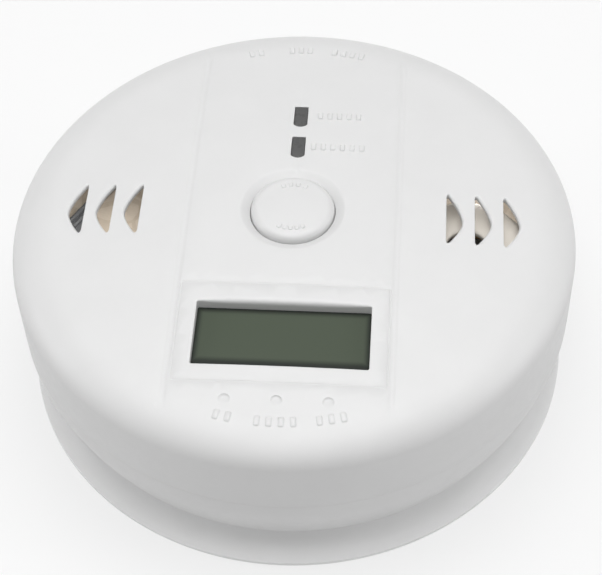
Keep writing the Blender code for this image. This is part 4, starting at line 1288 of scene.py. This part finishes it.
def board_parts():
    chip("microcontroller", (8, 8))
    chip("memory_chip", (4, 0))
    chip("driver_chip", (4, 0))
    for i in (1, 2, 3, 4):
        node = f"chip_resistor_{i}"
        box = Box(node)
        core = rectangle(box.wide - 0.7, box.tall, 0.05, 2, box.middle)
        core = slab(core, box.z0 + 0.04, box.z1, 0.05, 1)
        fitted(f"{node}_core", mesh_of(core), CHIP, "resistor", node)
        ends = [slab(rectangle(0.5, box.tall, 0.08, 2, (x, box.y)), box.z0, box.z1, 0.08, 2)
                for x in (box.x0 + 0.25, box.x1 - 0.25)]
        fitted(f"{node}_ends", mesh_of(*ends), SOLDER, "resistor", node)
    capacitor()
    coil()
    box = Box("clock_crystal")
    can = slab(rectangle(10.2, 3.8, 1.85, 10, box.middle), box.z0 + 0.3, box.z1, 0.5, 4)
    foot = slab(box.outline(2.15, 10), box.z0, box.z0 + 0.45, 0.1, 2)
    fitted("crystal_can", mesh_of(can, foot), SOLDER, "sensor_can", "clock_crystal")


def capacitor():
    box = Box("storage_capacitor")
    x, y, z = box.x, box.y, box.z0
    sleeve = [(0, z), (3.7, z), (4.0, z + 0.3), (4.0, z + 1.1), (3.7, z + 1.45), (3.7, z + 1.7),
              (4.0, z + 2.1), (4.0, z + 8.1), (3.75, z + 8.4), (3.1, z + 8.5), (3.0, z + 8.35),
              (0, z + 8.35)]
    body = mesh_of(turned_at(rounded(sleeve, 0.2), 56, x, y))
    fitted("capacitor_sleeve", body, SLEEVE, "capacitor_sleeve", "storage_capacitor")
    disc = [(0, z + 8.3), (2.95, z + 8.3), (2.95, z + 8.42), (0, z + 8.42)]
    scores = [[block((x - a, x + a), (y - b, y + b), (z + 8.38, z + 9))]
              for a, b in ((2.2, 0.1), (0.1, 2.2))]
    top = carved(mesh_of(turned_at(disc, 48, x, y)), *scores)
    fitted("capacitor_top", top, SOLDER, "capacitor_sleeve", "storage_capacitor")


def coil():
    box = Box("step_up_coil")
    x, y, z = box.x, box.y, box.z0
    drum = [(0, z), (4.2, z), (4.2, z + 1.0), (2.6, z + 1.1), (2.6, z + 5.9), (4.2, z + 6.0),
            (4.2, z + 7.0), (0, z + 7.0)]
    core = mesh_of(turned_at(rounded(drum, 0.2), 56, x, y))
    fitted("coil_core", core, FERRITE, "coil", "step_up_coil")
    wire_r = 0.22
    wound = [(2.5, z + 1.15)]
    for i in range(10):
        middle = z + 1.36 + 0.478 * i
        wound += [(3.45 + wire_r * math.cos(t), middle + wire_r * math.sin(t))
                  for t in (-1.3, -0.6, 0.0, 0.6, 1.3)]
    wound.append((2.5, z + 5.9))
    winding = mesh_of(turned_at(wound, 56, x, y))
    fitted("coil_winding", winding, COPPER, "coil", "step_up_coil", sharp=80)


def tact_switch():
    box = Box("switch_body")
    x, y, wide, z0, z1 = box.x, box.y, box.wide, box.z0, box.z1
    body = mesh_of(slab(rectangle(wide - 0.3, wide, 0.2, 3, (x, y)), z0, z1 - 0.3, 0.1, 2))
    body = carved(body, [rod(x, y, 2.1, z1 - 1.6, z1 + 1, 40)])
    fitted("switch_base", body, BLACK, "black_plastic", "switch_body")
    lid = mesh_of(slab(rectangle(wide - 0.3, wide - 0.3, 0.2, 3, (x, y)), z1 - 0.34, z1, 0.06, 2))
    lid = carved(lid, [rod(x, y, 2.05, z1 - 1, z1 + 1, 40)])
    fitted("switch_lid", lid, NICKEL, "black_plastic", "switch_body")
    box = Box("switch_plunger")
    r, z0, z1 = box.r, box.z0, box.z1
    stem = [(0, z0), (r, z0), (r, z1 - 0.3), (r - 0.3, z1), (0, z1)]
    cap = mesh_of(turned_at(rounded(stem, 0.12), 40, x, y))
    ivory = moulded("plunger_plastic", (0.55, 0.53, 0.47), 0.4).mat
    fitted("plunger_stem", cap, ivory, "plunger_plastic", "switch_plunger", body="plunger")


# -------------------------------------------------------------- camera and light

# The camera that the photo's outline fits: degrees and millimetres
CAMERA_AZIMUTH = 5.73
CAMERA_ELEVATION = 50.82
CAMERA_ROLL = -2.44
CAMERA_DISTANCE = 311.0
CAMERA_AIM = (0.0, 0.0, 20.0)
CAMERA_LENS = 101.45
CAMERA_SHIFT = (0.0102, -0.026)


def camera():
    a, e, r = (math.radians(v) for v in (CAMERA_AZIMUTH, CAMERA_ELEVATION, CAMERA_ROLL))
    back = Vector((math.sin(a) * math.cos(e), -math.cos(a) * math.cos(e), math.sin(e)))
    right = Vector((math.cos(a), math.sin(a), 0))
    up = back.cross(right)
    x = right * math.cos(r) + up * math.sin(r)
    y = up * math.cos(r) - right * math.sin(r)
    data = bpy.data.cameras.new("camera")
    data.sensor_width = 36
    data.lens = CAMERA_LENS
    data.shift_x, data.shift_y = CAMERA_SHIFT
    data.clip_start = 0.01
    obj = bpy.data.objects.new("camera", data)
    place = (Vector(CAMERA_AIM) + back * CAMERA_DISTANCE) * MM
    obj.matrix_world = Matrix.Translation(place) @ Matrix((x, y, back)).transposed().to_4x4()
    bpy.context.scene.collection.objects.link(obj)
    bpy.context.scene.camera = obj


def area_light(name, place, aim, size, power):
    data = bpy.data.lights.new(name, "AREA")
    data.shape = "DISK"
    data.size = size
    data.energy = power
    obj = bpy.data.objects.new(name, data)
    obj.location = place
    obj.rotation_euler = (Vector(aim) - Vector(place)).to_track_quat("-Z", "Y").to_euler()
    bpy.context.scene.collection.objects.link(obj)


# Name, place, diameter and watts; lights are placed in metres
LIGHTS = (
    ("top_light", (0.0, 0.1, 1.1), 1.2, 11.2),
    ("front_top_light", (0.0, -0.6, 0.95), 0.6, 1.7),
    ("left_light", (-0.95, 0.05, 0.5), 0.6, 2.3),
    ("right_light", (0.95, 0.05, 0.5), 0.6, 2.5),
)
WORLD_STRENGTH = 0.20
FLOOR_R = 6000.0
FLOOR_GREY = 0.30
FLOOR_GLOW = 0.60
# Light that the thin shell lets through around the vents, from under the face
SHELL_GLOW_Z = 0.0334
SHELL_GLOWS = (
    ("left_glow", (-0.035, 0.001), 0.020, 0.0034),
    ("right_glow", (0.033, -0.002), 0.016, 0.00010),
    ("far_right_glow", (0.033, 0.0135), 0.008, 0.0016),
)


def studio():
    floor_look = Look("floor", (FLOOR_GREY,) * 3, 0.9)
    floor_look.set("Specular IOR Level", 0.0)
    floor_look.set("Emission Color", (1, 1, 1, 1)).set("Emission Strength", FLOOR_GLOW)
    floor_look.mottle(400.0, 0.002)
    disc = mesh_of(prism(circle(0, 0, FLOOR_R, 128), -20.0, 0.0))
    floor = as_piece("floor", disc, floor_look.mat)
    for name, place, size, power in LIGHTS:
        area_light(name, place, (0, 0, 0.02), size, power)
    for name, (x, y), size, power in SHELL_GLOWS:
        area_light(name, (x, y, SHELL_GLOW_Z), (x, y, 0), size, power)
    world = bpy.data.worlds.new("studio")
    world.use_nodes = True
    world.node_tree.nodes["Background"].inputs["Color"].default_value = (1, 1, 1, 1)
    world.node_tree.nodes["Background"].inputs["Strength"].default_value = WORLD_STRENGTH
    bpy.context.scene.world = world
    bpy.context.scene.view_settings.view_transform = "Standard"


def carried_nodes():
    """Gives the frame nodes that still show a finished material."""
    for name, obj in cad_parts.items():
        obj.data.materials.clear()
        obj.data.materials.append(SHEATH if "sensor_lead" in name else BLACK)
        obj.data.shade_smooth()


camera()
studio()
carried_nodes()
front_cover()
rear_housing()
mounting_base()
test_button()
light_windows()
display()
led_body("alarm_led", "red", (0.45, 0.03, 0.02))
led_body("operate_led", "green", (0.05, 0.32, 0.06))
circuit_board()
co_sensor()
buzzer()
leads()
lead_pad()
board_parts()
tact_switch()
batteries()
screws()
